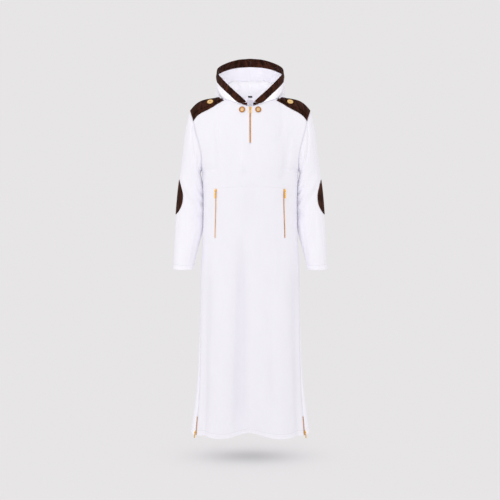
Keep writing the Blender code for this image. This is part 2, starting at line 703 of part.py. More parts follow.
def combined(name, base, steps):
    """The mesh of base after joining or cutting other solids, which are then removed."""
    for operation, tool in steps:
        change = base.modifiers.new(operation, "BOOLEAN")
        change.operation = operation
        change.solver = "EXACT"
        change.object = tool
    bpy.context.view_layer.update()
    final = base.evaluated_get(bpy.context.evaluated_depsgraph_get())
    mesh = bpy.data.meshes.new_from_object(final)
    mesh.name = name
    for obj in [base] + [tool for _, tool in steps]:
        bpy.data.objects.remove(obj, do_unlink=True)
    return mesh


def slider_mesh():
    """A slider's top plate with two cheeks and the pin that the pull hangs from."""
    top, low, half = SLIDER_TOP / 2, SLIDER_LOW / 2, SLIDER_LENGTH / 2
    outline = [(-low, half), (-top, -half * 0.3), (-top * 0.7, -half)]
    outline += [(-a, b) for a, b in reversed(outline)]
    plate = prism("plate", outline, 0, PLATE)
    inner, outer = CHEEK_GAP / 2, CHEEK_GAP / 2 + CHEEK
    side = [
        (PIN_DOWN - 1.7 * MM, PLATE - 0.5 * MM),
        (PIN_DOWN + 1.7 * MM, PLATE - 0.5 * MM),
        (PIN_DOWN + 1.3 * MM, PIN_HEIGHT + 1.3 * MM),
        (PIN_DOWN - 1.3 * MM, PIN_HEIGHT + 1.3 * MM),
    ]
    cheeks = [prism("cheek", side, s * inner, s * outer, axis=0) for s in (-1, 1)]
    reach = inner + CHEEK / 2
    pin = prism("pin", circle(PIN_RADIUS, 12, (PIN_DOWN, PIN_HEIGHT)), -reach, reach, axis=0)
    return combined("slider", plate, [("UNION", s) for s in (*cheeks, pin)])


def pull_mesh(length):
    """A pull tab hanging from its eye; the origin is on the pin's axis."""
    neck, half, end = EYE_WIDTH / 2 - 0.2 * MM, PULL_HALF, length
    outline = [(-neck, 0.4 * MM), (-neck, 5 * MM), (-half, 9 * MM), (-half, end - 2 * MM)]
    outline.append((-half + 1.6 * MM, end))
    outline += [(-a, b) for a, b in reversed(outline)]
    tab = prism("tab", outline, -PULL_THICK / 2, PULL_THICK / 2)
    reach = EYE_WIDTH / 2
    eye = prism("eye", circle(EYE_OUTER, 16), -reach, reach, axis=0)
    bore = prism("bore", circle(EYE_INNER, 16), -reach - MM, reach + MM, axis=0)
    return combined("pull", tab, [("UNION", eye), ("DIFFERENCE", bore)])


def button_mesh():
    """A round button with a raised rim."""
    sides = 24
    profile = [(0.40, 0.0), (0.90, 0.2), (1.0, 1.2), (0.98, 2.4), (0.88, 3.0), (0.76, 2.4), (0.4, 2.2)]
    points = [(0, 0, 0)]
    for radius, height in profile:
        ring = circle(radius * BUTTON_RADIUS, sides)
        points += [(a, b, height * MM) for a, b in ring]
    points.append((0, 0, 2.2 * MM))
    last = len(points) - 1
    faces = []
    for n in range(sides):
        m = (n + 1) % sides
        faces.append((0, 1 + n, 1 + m))
        faces.append((last, last - sides + m, last - sides + n))
        for k in range(len(profile) - 1):
            low, high = 1 + k * sides, 1 + (k + 1) * sides
            faces.append((low + n, low + m, high + m, high + n))
    return closed_mesh("button", points, faces)


def zip_line(grid, normals, columns, rows):
    """Points, outward and across directions up the middle of some columns of a grid."""
    middle = grid[np.ix_(rows, columns)].mean(axis=1)
    out = normals[np.ix_(rows, columns)].mean(axis=1)
    up = np.gradient(middle, axis=0)
    across = np.cross(up, out)
    across /= np.linalg.norm(across, axis=-1, keepdims=True)
    out = np.cross(across, up)
    out /= np.linalg.norm(out, axis=-1, keepdims=True)
    ends = middle.copy()
    for end, inner in ((0, 1), (-1, -2)):
        step = middle[inner] - middle[end]
        ends[end] += step / np.linalg.norm(step) * ZIP_END
    return ends, out, across


def zip_chain(name, middle, out, across):
    """A zip's chain in its slit and the tape behind it, as one solid."""
    back = -HALF - 1.9 * MM
    front = -HALF - 1.0 * MM
    face = HALF + 0.5 * MM
    profile = [
        (-TAPE_HALF, back), (TAPE_HALF, back), (TAPE_HALF, front), (CHAIN_HALF, front),
        (CHAIN_HALF, face), (-CHAIN_HALF, face), (-CHAIN_HALF, front), (-TAPE_HALF, front),
    ]
    count = len(profile)
    points = [
        p + a * across_by + o * out_by
        for p, o, a in zip(middle, out, across)
        for across_by, out_by in profile
    ]
    last = len(points) - count
    faces = [tuple(range(count)), tuple(range(last, last + count))]
    for start in range(0, last, count):
        for n in range(count):
            m = (n + 1) % count
            faces.append((start + n, start + m, start + m + count, start + n + count))
    return add_mesh(name, closed_mesh(name, points, faces), CHAIN)


def add_zip(name, line, slider_at, pull_length, slider, plumb=False, proud=0.9 * MM):
    """A chain, a slider some way below the top of the line, and its pull, which lies along
    the zip or, if plumb, hangs straight down. proud: how far the slider is above the cloth."""
    middle, out, across = line
    zip_chain(f"{name}_zip", middle, out, across)
    run = np.linalg.norm(middle - middle[-1], axis=-1)[::-1]
    place, side, normal = (
        np.array([np.interp(slider_at, run, values[::-1, k]) for k in range(3)])
        for values in (middle, across, out)
    )
    side = -side / np.linalg.norm(side)
    down = np.cross(normal, side)
    down /= np.linalg.norm(down)
    normal = np.cross(side, down)
    base = place + normal * (HALF + proud)
    body = add_mesh(f"{name}_slider", slider.copy(), GOLD)
    body.matrix_world = frame_matrix(base, side, down, normal)
    hinge = base + down * PIN_DOWN + normal * PIN_HEIGHT
    if plumb:
        down = np.array((0, 0, -1.0)) + side * side[2]
        down /= np.linalg.norm(down)
        normal = np.cross(side, down)
    tab = add_mesh(f"{name}_pull", pull_mesh(pull_length), GOLD)
    tab.matrix_world = frame_matrix(hinge, side, down, normal)


def add_button(name, place, normal, button):
    across = np.cross((0, 0, -1.0), normal)
    across /= np.linalg.norm(across)
    obj = add_mesh(name, button.copy(), BUTTON)
    obj.matrix_world = frame_matrix(place, across, np.cross(normal, across), normal)


def on_panel(grid, normals, across, up, at):
    """The place and direction at (across, up) values of a panel."""
    found = []
    for values in (grid, normals):
        rows = [[np.interp(at[0], across, row[:, k]) for k in range(3)] for row in values]
        rows = np.array(rows)
        found.append(np.array([np.interp(at[1], up, rows[:, k]) for k in range(3)]))
    return found[0], found[1] / np.linalg.norm(found[1])


# ---------------------------------------------------------------- the robe


def mirrored(region):
    return [(-a, b) for a, b in reversed(region)]


def build_white(grids, normals):
    """Front, back, sleeves and hood halves."""
    slits = (NECK_SLIT, LEFT_POCKET_SLIT, RIGHT_POCKET_SLIT)
    holes = {(i, columns[0]) for columns, rows in slits for i in rows[:-1]}
    edge = np.full(len(grids["front_body"]), GAP / 2)
    edge[: SKIRT_Z.index(HEM_ZIP_TOP_Z) + 1] = SLIT_HALF
    for name, grid in grids.items():
        if name == "front_body":
            wall(name, pulled_in(grid, by=edge), normals[name], WHITE, holes=holes)
        elif name == "back_body":
            wall(name, pulled_in(grid, by=edge), normals[name], WHITE)
        elif name.startswith("sleeve"):
            grid = pulled_in(pulled_in(grid, "bottom top"), "bottom")
            wall(name, grid, normals[name], WHITE, closed=True)
        else:
            wall(name, pulled_in(grid), normals[name], WHITE)


def build_band(name, grid, normals):
    """Half of the hood's band: a strip folded over the free edge, from the grid's last rows."""
    grid = pulled_in(grid)[-3:]
    normals = normals[-3:]
    beyond = grid[-1] - grid[-2]
    beyond /= np.linalg.norm(beyond, axis=-1, keepdims=True)
    tip = grid[-1] - beyond * GAP / 2
    low, high = HALF + LIFT, HALF + LIFT + TRIM

    def chain(by):
        outer = [grid[0] + normals[0] * by, grid[1] + normals[1] * by, tip + normals[2] * by]
        inner = [tip - normals[2] * by, grid[1] - normals[1] * by, grid[0] - normals[0] * by]
        return np.array([*outer, tip + beyond * by, *inner])

    near, far = chain(low), chain(high)
    rows, columns = near.shape[:2]
    points, away = near.reshape(-1, 3), (far - near).reshape(-1, 3)
    faces = []
    for i, j in np.ndindex(rows - 1, columns - 1):
        a, b = i * columns + j, (i + 1) * columns + j
        faces += triangles((a, a + 1, b + 1, b), points)
    sheet(name, points, away, faces, BROWN, low=0.0, high=1.0)


def build_brown(panel):
    """Shoulder patches, straps and elbow patches. panel(name, region) names what is cut."""
    low = HALF + LIFT
    high = low + TRIM
    turns = [2 * math.pi * n / ELBOW_SIDES for n in range(ELBOW_SIDES)]
    (turn, ring), (wide, tall) = ELBOW_CENTRE, ELBOW_HALF
    oval = [(turn + wide * math.cos(t), ring + tall * math.sin(t)) for t in turns]
    for side, flip in (("left", list), ("right", mirrored)):
        front, back = flip(SHOULDER_PATCH), mirrored(flip(SHOULDER_PATCH))
        patch = cut_out(panel("front_body", front), panel("back_body", back))
        sheet(f"shoulder_patch_{side}", *patch, BROWN, low, high)
        points, out, faces = cut_out(panel("front_body", flip(EPAULETTE)))
        points += out * flap_rise(points)[:, None]
        sheet(f"epaulette_{side}", points, out, faces, BROWN, high + LIFT, high + LIFT + TRIM)
        elbow = cut_out(panel(f"sleeve_{side}", flip(oval)))
        sheet(f"elbow_patch_{side}", *elbow, BROWN, low, high)


def build_inside(panel):
    """The pocket's inner layer, and the tape, strip and label inside the back of the neck."""
    low = HALF + INSIDE_ZIPS
    sheet("pocket", *cut_out(panel("front_body", POCKET)), WHITE, -low - CLOTH, -low)
    low = HALF + LIFT
    sheet("neck_tape", *cut_out(panel("back_body", NECK_TAPE)), BROWN, -low - TRIM, -low)
    low += TRIM + LIFT
    halves = [(f"hood_{side}", flip) for side, flip in (("left", list), ("right", mirrored))]
    strip = [panel(name, flip(STRIP_TOP)) for name, flip in halves]
    strip.append(panel("back_body", STRIP_LOW))
    sheet("hanger_strip", *cut_out(*strip), STRIP, -low - TRIM, -low)
    label = [panel(name, flip(LABEL_PLACE)) for name, flip in halves]
    low = HALF + LIFT
    sheet("neck_label", *cut_out(*label), LABEL, -low - TRIM, -low)


def build_hardware(grids, normals, panel):
    """Zips and buttons."""
    slider, button = slider_mesh(), button_mesh()
    front, out = grids["front_body"], normals["front_body"]
    add_zip("neck", zip_line(front, out, *NECK_SLIT), 6.6 * MM, 20 * MM, slider)
    hem = list(range(SKIRT_Z.index(HEM_ZIP_TOP_Z) + 1))
    sides = (("left", LEFT_POCKET_SLIT, -1, 1), ("right", RIGHT_POCKET_SLIT, 0, -1))
    for side, slit, seam, sign in sides:
        line = zip_line(front, out, *slit)
        add_zip(f"pocket_{side}", line, 6.6 * MM, 29 * MM, slider, plumb=True)
        line = zip_line(front, out, [seam], hem)
        add_zip(f"hem_{side}", line, 62 * MM, 22 * MM, slider, proud=1.3 * MM)
        for name, at, low in (
            ("epaulette", EPAULETTE_BUTTON, HALF + 3 * LIFT + 2 * TRIM),
            ("neck", NECK_BUTTON, HALF + 1.6 * LIFT),
        ):
            place, normal = on_panel(*panel("front_body", None)[:4], (sign * at[0], at[1]))
            add_button(f"{name}_button_{side}", place + normal * low, normal, button)


def main():
    for obj in list(bpy.data.objects):
        bpy.data.objects.remove(obj, do_unlink=True)
    front = body_grid(-1, SLIT_U)
    for column, x in zip(NECK_SLIT[0], (-SLIT_HALF, SLIT_HALF)):
        front[:, column, 0] = x
    groups = [
        {"front_body": front, "back_body": body_grid(1, (0.0,))},
        {"sleeve_left": sleeve_grid(1)},
        {"sleeve_right": sleeve_grid(-1)},
        {"hood_left": hood_grid(1), "hood_right": hood_grid(-1)},
    ]
    grids = {name: grid for group in groups for name, grid in group.items()}
    normals = shared_normals(groups)
    sleeve_turns = read(ARMHOLE, "turn", "rise", 1 - np.abs(SLEEVE_WAYS)) * np.sign(SLEEVE_WAYS)
    hood_angles = [*HOOD_ANGLES, *(180 - a for a in reversed(HOOD_ANGLES[:-1])), 180]
    across = {
        "front_body": panel_u(SLIT_U),
        "back_body": panel_u((0.0,)),
        "sleeve_left": sleeve_turns,
        "sleeve_right": sleeve_turns,
        "hood_left": np.array(hood_angles),
        "hood_right": -np.array(hood_angles[::-1]),
    }
    rises = [*(z - ARMPIT_Z for z in SKIRT_Z), *RISES]
    shares = [*HOOD_SHARES, 0.95, 1.0]
    up = {
        "front_body": rises,
        "back_body": rises,
        "sleeve_left": SLEEVE["ring"],
        "sleeve_right": SLEEVE["ring"],
        "hood_left": shares,
        "hood_right": shares,
    }

    def panel(name, region):
        return grids[name], normals[name], across[name], up[name], region

    build_white(grids, normals)
    for side in ("left", "right"):
        name = f"hood_{side}"
        build_band(f"hood_band_{side}", grids[name], normals[name])
    build_brown(panel)
    build_inside(panel)
    build_hardware(grids, normals, panel)


main()
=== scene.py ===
import math

import bpy
import numpy as np
from mathutils import Matrix, Vector


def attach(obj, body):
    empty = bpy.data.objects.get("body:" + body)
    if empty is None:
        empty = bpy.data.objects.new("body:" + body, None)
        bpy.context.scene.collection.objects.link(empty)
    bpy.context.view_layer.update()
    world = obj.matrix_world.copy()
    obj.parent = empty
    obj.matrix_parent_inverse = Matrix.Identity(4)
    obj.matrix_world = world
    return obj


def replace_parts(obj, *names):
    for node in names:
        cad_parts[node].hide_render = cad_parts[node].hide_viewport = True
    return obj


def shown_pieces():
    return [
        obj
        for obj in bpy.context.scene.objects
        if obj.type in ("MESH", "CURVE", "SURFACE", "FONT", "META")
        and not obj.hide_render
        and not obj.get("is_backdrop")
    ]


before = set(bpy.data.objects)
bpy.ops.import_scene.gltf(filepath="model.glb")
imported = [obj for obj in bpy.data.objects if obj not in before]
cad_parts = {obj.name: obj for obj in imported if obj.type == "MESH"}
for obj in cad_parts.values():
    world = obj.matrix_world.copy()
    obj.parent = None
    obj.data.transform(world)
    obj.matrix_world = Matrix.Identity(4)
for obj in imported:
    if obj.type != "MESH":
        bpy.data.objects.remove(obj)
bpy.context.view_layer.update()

MM = 0.001

# Cloth
CLOTH = 1.6 * MM  # wall of the white cloth
HALF = CLOTH / 2
TRIM = 1.2 * MM  # wall of the brown cloth
GAP = 0.3 * MM  # between pieces at a seam
LIFT = 0.6 * MM  # between a curved panel and what lies on it

# Body
HEM_Z = -1.375
ARMPIT_Z = -0.290
NECK_HALF_WIDTH = 0.112
NECK_FRONT = 0.098
NECK_BACK = 0.088
NECK_FRONT_Z = -0.0335
NECK_SIDE_Z = 0.006
NECK_BACK_Z = -0.010
NECK_U = 0.4835  # share of a panel's half width that ends at the neck, not the shoulder
NECK_FACE = 50.0  # how far a panel has turned over, in degrees, where it meets the neck
SHOULDER_FACE = 90.0  # and where it meets the shoulder line
EVEN_REACH = 0.24  # share of a panel over which its top line is evened out lower down
EVEN_POWER = 4.0  # how soon below the top the true line gives way to the even one

# Zips
SLIT_HALF = 3.5 * MM  # half the width of a zip's slit
CHAIN_HALF = 2.8 * MM
TAPE_HALF = 5.8 * MM
ZIP_END = 0.6 * MM  # a zip stops this far short of its slit's ends
NECK_ZIP_ROW = 4  # rows above the armpit where the neck zip ends
POCKET_TOP_Z = -0.362
POCKET_BOTTOM_Z = -0.561
HEM_ZIP_TOP_Z = -1.300
HEM_RISE = 0.009  # how much higher the hem is at the front than at the sides
HEM_ARCH = 0.012  # and how much higher still at the centre
POCKET_DRIFT = 0.084  # how much wider apart, in panel widths, the pocket zips end than start


def table(names, rows):
    """A table with named columns, each an array."""
    return dict(zip(names.split(), np.array(rows, float).T))


def rows_of(from_table):
    return [dict(zip(from_table, row)) for row in zip(*from_table.values())]


# Sections of the body below the armpit. seam: the side seam's angle from the front, degrees.
BODY = table("z half_width front back seam", [
    (-1.375, 0.2465, 0.140, 0.142, 65),
    (-1.349, 0.2425, 0.139, 0.141, 66),
    (-1.286, 0.2335, 0.136, 0.138, 68),
    (-1.203, 0.2240, 0.133, 0.135, 70),
    (-1.120, 0.2170, 0.130, 0.132, 73),
    (-1.037, 0.2120, 0.128, 0.129, 76),
    (-0.954, 0.2085, 0.126, 0.126, 79),
    (-0.830, 0.2055, 0.124, 0.122, 83),
    (-0.705, 0.2035, 0.122, 0.117, 86),
    (-0.564, 0.1960, 0.120, 0.113, 88),
    (-0.477, 0.1930, 0.121, 0.112, 89),
    (-0.394, 0.1925, 0.127, 0.114, 90),
    (-0.290, 0.1985, 0.132, 0.121, 90),
])

# The armhole, from the armpit (rise 0) to the shoulder point (rise 1), on the wearer's left.
# turn: degrees round the sleeve from its outer point.
ARMHOLE = table("rise x z front back turn", [
    (0.000, 0.1985, -0.290, 0.000, 0.000, 180.0),
    (0.047, 0.1970, -0.272, -0.037, 0.038, 148.5),
    (0.145, 0.1975, -0.235, -0.061, 0.064, 123.3),
    (0.283, 0.2060, -0.185, -0.071, 0.076, 98.0),
    (0.431, 0.2200, -0.137, -0.067, 0.075, 75.3),
    (0.577, 0.2290, -0.098, -0.057, 0.066, 55.0),
    (0.716, 0.2365, -0.070, -0.039, 0.047, 36.6),
    (0.859, 0.2430, -0.052, -0.018, 0.023, 18.0),
    (1.000, 0.2460, -0.046, 0.000, 0.000, 0.0),
])

# The shoulder line, from the neck (run 0) to the shoulder point (run 1).
SHOULDER = table("run x z", [
    (0.00, 0.1120, 0.006),
    (0.17, 0.1350, 0.007),
    (0.32, 0.1550, 0.005),
    (0.50, 0.1800, 0.001),
    (0.67, 0.2025, -0.006),
    (0.81, 0.2210, -0.018),
    (0.92, 0.2357, -0.033),
    (1.00, 0.2460, -0.046),
])

# Rings of the left sleeve: the point furthest out, the point nearest the body, the reach to
# the front and back, and how much of the armhole's own shape is left in the ring.
SLEEVE = table("ring outer_x outer_z inner_x inner_z front back armhole", [
    (0, 0.2460, -0.046, 0.1985, -0.290, -0.069, 0.075, 1.00),
    (1, 0.2525, -0.062, 0.2035, -0.2935, -0.070, 0.079, 0.80),
    (2, 0.2595, -0.092, 0.2065, -0.301, -0.070, 0.082, 0.50),
    (3, 0.2685, -0.135, 0.2045, -0.313, -0.066, 0.086, 0.24),
    (4, 0.2750, -0.185, 0.2000, -0.329, -0.060, 0.090, 0.08),
    (5, 0.2810, -0.240, 0.1960, -0.349, -0.053, 0.094, 0.00),
    (6, 0.2895, -0.300, 0.1937, -0.374, -0.046, 0.096, 0.00),
    (7, 0.2982, -0.360, 0.1925, -0.405, -0.041, 0.096, 0.00),
    (8, 0.3040, -0.418, 0.1922, -0.445, -0.040, 0.093, 0.00),
    (9, 0.3080, -0.475, 0.1932, -0.492, -0.042, 0.085, 0.00),
    (10, 0.3110, -0.535, 0.2000, -0.546, -0.048, 0.073, 0.00),
    (11, 0.3132, -0.593, 0.2145, -0.600, -0.055, 0.059, 0.00),
    (12, 0.3150, -0.647, 0.2270, -0.651, -0.061, 0.046, 0.00),
    (13, 0.3168, -0.692, 0.2365, -0.694, -0.064, 0.037, 0.00),
])

# The hood's free edge on the wearer's left, by angle round the neck from the front.
HOOD_EDGE = table("angle x y z", [
    (16.5, 0.0160, -0.1010, -0.0165),
    (27.0, 0.0360, -0.0945, 0.0033),
    (38.0, 0.0570, -0.0840, 0.0227),
    (49.0, 0.0785, -0.0690, 0.0437),
    (60.0, 0.0985, -0.0500, 0.0652),
    (75.0, 0.1210, -0.0180, 0.0917),
    (90.0, 0.1345, 0.0180, 0.112),
    (105.0, 0.1355, 0.0540, 0.134),
    (120.0, 0.1240, 0.0900, 0.151),
    (135.0, 0.1020, 0.1180, 0.166),
    (150.0, 0.0720, 0.1370, 0.179),
    (165.0, 0.0375, 0.1470, 0.1875),
    (180.0, 0.0000, 0.1500, 0.190),
])

# The hood's section at the centre back, from the neck seam over the inner ridge, down into
# the hanging bag and up to the free edge.
HOOD_BACK = table("share y z", [
    (0.000, 0.088, -0.010),
    (0.070, 0.092, 0.040),
    (0.130, 0.100, 0.075),
    (0.175, 0.112, 0.091),
    (0.215, 0.126, 0.085),
    (0.290, 0.137, 0.046),
    (0.375, 0.143, 0.004),
    (0.455, 0.153, -0.034),
    (0.505, 0.171, -0.045),
    (0.560, 0.189, -0.024),
    (0.655, 0.196, 0.022),
    (0.765, 0.192, 0.076),
    (0.880, 0.178, 0.130),
    (0.950, 0.162, 0.168),
    (1.000, 0.150, 0.190),
])
HOOD_BULGE = 0.013  # how far the hood's side stands out past a straight line
BULGE_FROM = 14  # degrees round the neck where it begins
BAG_FROM = 92  # and where the hanging bag begins
BAG_OVER = 62  # degrees over which each comes in

# Folds of the body: each a soft trough (depth < 0) or ridge along a line in X and Z.
# panel: -1 front, 1 back.
FOLDS = table("panel x0 z0 x1 z1 bow width0 width1 depth0 depth_mid depth1", [
    (-1, -0.020, -0.330, -0.006, -1.375, -0.012, 0.026, 0.060, 0.000, -0.020, -0.045),
    (-1, -0.120, -0.620, -0.125, -1.375, 0.000, 0.050, 0.060, 0.000, 0.004, 0.008),
    (-1, 0.120, -0.620, 0.140, -1.375, 0.004, 0.050, 0.060, 0.000, 0.006, 0.012),
    (-1, -0.172, -0.560, -0.196, -1.375, -0.004, 0.016, 0.020, 0.000, -0.007, -0.012),
    (-1, 0.178, -0.560, 0.203, -1.375, 0.004, 0.018, 0.022, 0.000, -0.008, -0.014),
    (-1, 0.162, -0.130, 0.150, -0.345, -0.012, 0.016, 0.020, 0.000, -0.006, 0.000),
    (-1, -0.156, -0.150, -0.163, -0.345, 0.006, 0.016, 0.020, 0.000, -0.004, 0.000),
    (1, 0.060, -0.420, 0.082, -1.375, 0.006, 0.026, 0.050, 0.000, -0.011, -0.024),
    (1, -0.070, -0.450, -0.090, -1.375, -0.006, 0.026, 0.050, 0.000, -0.010, -0.022),
    (1, 0.000, -0.600, -0.004, -1.375, 0.000, 0.040, 0.060, 0.000, 0.003, 0.006),
    (1, 0.170, -0.600, 0.190, -1.375, 0.000, 0.016, 0.022, 0.000, -0.007, -0.012),
    (1, -0.172, -0.620, -0.192, -1.375, 0.000, 0.016, 0.022, 0.000, -0.006, -0.012),
])

SEAM_CALM = 0.22  # share of a panel's half over which the folds die away at its side

# Grid lines of a body panel's half, from the centre (0) to the side (1), and of its rows.
PANEL_U = (
    *(0.095, 0.155, 0.217, 0.280, 0.343, 0.425, NECK_U, 0.5165),
    *(0.60, 0.67, 0.74, 0.81, 0.87, 0.92, 0.96, 1.0),
)
SKIRT_Z = (
    *(HEM_Z, HEM_ZIP_TOP_Z, -1.19, -1.06, -0.93, -0.80, -0.68),
    *(POCKET_BOTTOM_Z, -0.464, POCKET_TOP_Z, -0.325),
)
RISES = (0, 0.06, 0.14, 0.26, 0.39, 0.5, 0.6, 0.7, 0.8, 0.9, 1)  # rows, armpit to shoulder
HOOD_SHARES = (0, 0.07, 0.13, 0.175, 0.215, 0.29, 0.375, 0.455, 0.505, 0.56, 0.655, 0.765, 0.865)

# The neck slit's edges, as shares of a panel's half width.
SLIT_U = tuple(x / NECK_HALF_WIDTH * NECK_U * 2 / math.pi for x in (-SLIT_HALF, SLIT_HALF))

# Width of the hood's band round the free edge, by angle round the neck.
BAND = table("angle width", [
    *((17, 0.0157), (27, 0.0235), (38, 0.0248), (52, 0.0263), (60, 0.0284), (67, 0.0297)),
    *((75, 0.0312), (90, 0.0330), (120, 0.0340), (180, 0.0345)),
])

# What lies on a panel, as corners in its (across, up) values, anticlockwise from outside.
SHOULDER_PATCH = [
    *((0.387, 0.878), (0.455, 0.799), (0.518, 0.747), (0.594, 0.687), (0.690, 0.650)),
    *((0.770, 0.629), (0.850, 0.615), (0.995, 0.610), (0.995, 1.001), (0.530, 1.001)),
]
EPAULETTE = [
    *((0.618, 0.716), (0.800, 0.700), (0.995, 0.699), (0.995, 0.996)),
    *((0.566, 0.996), (0.480, 0.836)),
]
FLAP_RISE = 3.5 * MM  # how far an epaulette's end at the neck stands off the shoulder
FLAP_START = 0.152  # the X at which it begins to
FLAP_RUN = 0.030
ELBOW_CENTRE = (6.0, 7.66)  # degrees round the sleeve from its outer point, and ring
ELBOW_HALF = (53.0, 1.24)
POCKET = [  # up is in metres above the armpit there
    *((-0.60, -0.290), (0.60, -0.290), (0.60, -0.071), (0.30, -0.063)),
    *((0.0, -0.060), (-0.30, -0.063), (-0.60, -0.071)),
]
NECK_TAPE = [(-0.42, 0.935), (0.42, 0.935), (0.42, 0.999), (-0.42, 0.999)]
STRIP_U = 0.036
STRIP_ANGLE = 180 - 90 * STRIP_U / NECK_U
STRIP_LOW = [(-STRIP_U, 0.937), (STRIP_U, 0.937), (STRIP_U, 1.001), (-STRIP_U, 1.001)]
STRIP_TOP = [(STRIP_ANGLE, -1), (181, -1), (181, 0.0255), (STRIP_ANGLE, 0.0255)]
LABEL_PLACE = [(175.5, 0.038), (181, 0.038), (181, 0.0475), (175.5, 0.0475)]
INSIDE_ZIPS = 2.5 * MM  # clear of the zips' tapes, behind a panel
BUTTON_RADIUS = 12.5 * MM


# ---------------------------------------------------------------- curves


def smooth(keys, values, at):
    """A smooth curve through (key, value) pairs: Hermite pieces with difference slopes."""
    slopes = np.gradient(values, keys)
    at = np.clip(at, keys[0], keys[-1])
    i = np.clip(np.searchsorted(keys, at, side="right") - 1, 0, len(keys) - 2)
    step = keys[i + 1] - keys[i]
    t = (at - keys[i]) / step
    low = values[i] * (1 + 2 * t) * (1 - t) ** 2 + slopes[i] * step * t * (1 - t) ** 2
    high = values[i + 1] * t * t * (3 - 2 * t) - slopes[i + 1] * step * t * t * (1 - t)
    return low + high


def read(from_table, column, key, at):
    return smooth(from_table[key], from_table[column], at)


def ease(t):
    """0 to 1 with level ends."""
    t = np.clip(t, 0.0, 1.0)
    return t * t * (3 - 2 * t)


# ---------------------------------------------------------------- the body's surface


def fold_depth(panel, x, z):
    """How far the folds move the body's surface outwards at (x, z)."""
    total = np.zeros(np.broadcast(x, z).shape)
    for f in rows_of(FOLDS):
        if f["panel"] != panel:
            continue
        run_x, run_z = f["x1"] - f["x0"], f["z1"] - f["z0"]
        length = math.hypot(run_x, run_z)
        t = np.clip(((x - f["x0"]) * run_x + (z - f["z0"]) * run_z) / length**2, 0, 1)
        bow = 4 * f["bow"] * t * (1 - t)
        off_x = x - f["x0"] - t * run_x + bow * run_z / length
        off_z = z - f["z0"] - t * run_z - bow * run_x / length
        width = f["width0"] + t * (f["width1"] - f["width0"])
        ends = f["depth0"] * (1 - t) * (1 - 2 * t) + f["depth1"] * t * (2 * t - 1)
        depth = ends + 4 * f["depth_mid"] * t * (1 - t)
        total += depth * np.exp(-(off_x**2 + off_z**2) / width**2)
    return total


def skirt_point(panel, u, z):
    """The body's surface below the armpit. u runs from -1 to 1 across the panel."""
    drift = POCKET_DRIFT * ease((POCKET_TOP_Z - z) / (POCKET_TOP_Z - POCKET_BOTTOM_Z))
    u = u * (1 + drift * (1 - np.abs(u)))
    seam = np.radians(read(BODY, "seam", "z", z))
    angle = u * seam if panel < 0 else math.pi - u * (math.pi - seam)
    half_width = read(BODY, "half_width", "z", z)
    ahead = np.cos(angle)
    depth = np.where(ahead > 0, read(BODY, "front", "z", z), read(BODY, "back", "z", z))
    x, y = half_width * np.sin(angle), -depth * ahead
    fold = fold_depth(panel, x, z) * ease((1 - np.abs(u)) / SEAM_CALM)
    out_x, out_y = np.sin(angle) / half_width, -ahead / depth
    size = np.hypot(out_x, out_y)
    return np.stack([x + fold * out_x / size, y + fold * out_y / size, z + 0 * x], -1)


def neck_point(panel, u):
    """The neckline, which is the top of a panel where |u| is under NECK_U."""
    angle = np.radians(90 * u / NECK_U)
    middle_y = -NECK_FRONT if panel < 0 else NECK_BACK
    middle_z = NECK_FRONT_Z if panel < 0 else NECK_BACK_Z
    climb = np.abs(np.sin(angle)) ** 1.1 if panel < 0 else 1 - np.cos(angle)
    z = middle_z + (NECK_SIDE_Z - middle_z) * climb
    return np.stack([NECK_HALF_WIDTH * np.sin(angle), middle_y * np.cos(angle), z], -1)


def shoulder_point(u):
    run = np.clip((np.abs(u) - NECK_U) / (1 - NECK_U), 0, 1)
    x, z = read(SHOULDER, "x", "run", run), read(SHOULDER, "z", "run", run)
    return np.stack([np.sign(u) * x, 0 * x, z], -1)


def top_point(panel, u):
    at_neck = (np.abs(u) < NECK_U)[..., None]
    return np.where(at_neck, neck_point(panel, u), shoulder_point(u))


def even_top(panel, u):
    """The top line with the corner between neck and shoulder evened out."""
    reach = EVEN_REACH * np.clip((1 - np.abs(u)) / 0.3, 0, 1)
    shares = np.linspace(-1, 1, 9)
    weights = 1 - np.abs(shares) * 0.8
    total = sum(w * top_point(panel, u + s * reach) for w, s in zip(weights, shares))
    return total / weights.sum()


def armhole_point(panel, side, rise):
    x = side * read(ARMHOLE, "x", "rise", rise)
    front, back = (read(ARMHOLE, name, "rise", rise) for name in ("front", "back"))
    y = np.where(np.asarray(panel) < 0, front, back)
    return np.stack([x, y, read(ARMHOLE, "z", "rise", rise)], -1)


def upper_point(panel, u, rise):
    """The body's surface from the armpit (rise 0) to the neck and shoulder line (rise 1)."""
    u, rise = np.broadcast_arrays(np.asarray(u, float), np.asarray(rise, float))
    low = skirt_point(panel, u, np.full(u.shape, ARMPIT_Z))
    even = even_top(panel, u)
    top = even + (top_point(panel, u) - even) * (rise**EVEN_POWER)[..., None]
    turned = ease(np.abs(u) / NECK_U)
    face = np.radians(NECK_FACE + (SHOULDER_FACE - NECK_FACE) * turned)
    up = (np.sin(rise * face) / np.sin(face))[..., None]
    back = ((1 - np.cos(rise * face)) / (1 - np.cos(face)))[..., None]
    share = np.concatenate([rise[..., None], back, up], -1)
    point = low + (top - low) * share
    side = np.where(u < 0, -1.0, 1.0)
    corner = np.stack([side * BODY["half_width"][-1], 0 * u, 0 * u + ARMPIT_Z], -1)
    tip = np.stack([side * SHOULDER["x"][-1], 0 * u, 0 * u + SHOULDER["z"][-1]], -1)
    lift = np.stack([rise, 1 - np.cos(rise * math.pi / 2), np.sin(rise * math.pi / 2)], -1)
    straight = corner + (tip - corner) * lift
    pull = (np.abs(u) ** 3)[..., None]
    point = point + pull * (armhole_point(panel, side, rise) - straight)
    fold = fold_depth(panel, point[..., 0], point[..., 2]) * ease((1 - np.abs(u)) / SEAM_CALM)
    point[..., 1] += panel * fold * (rise > 0)
    return point


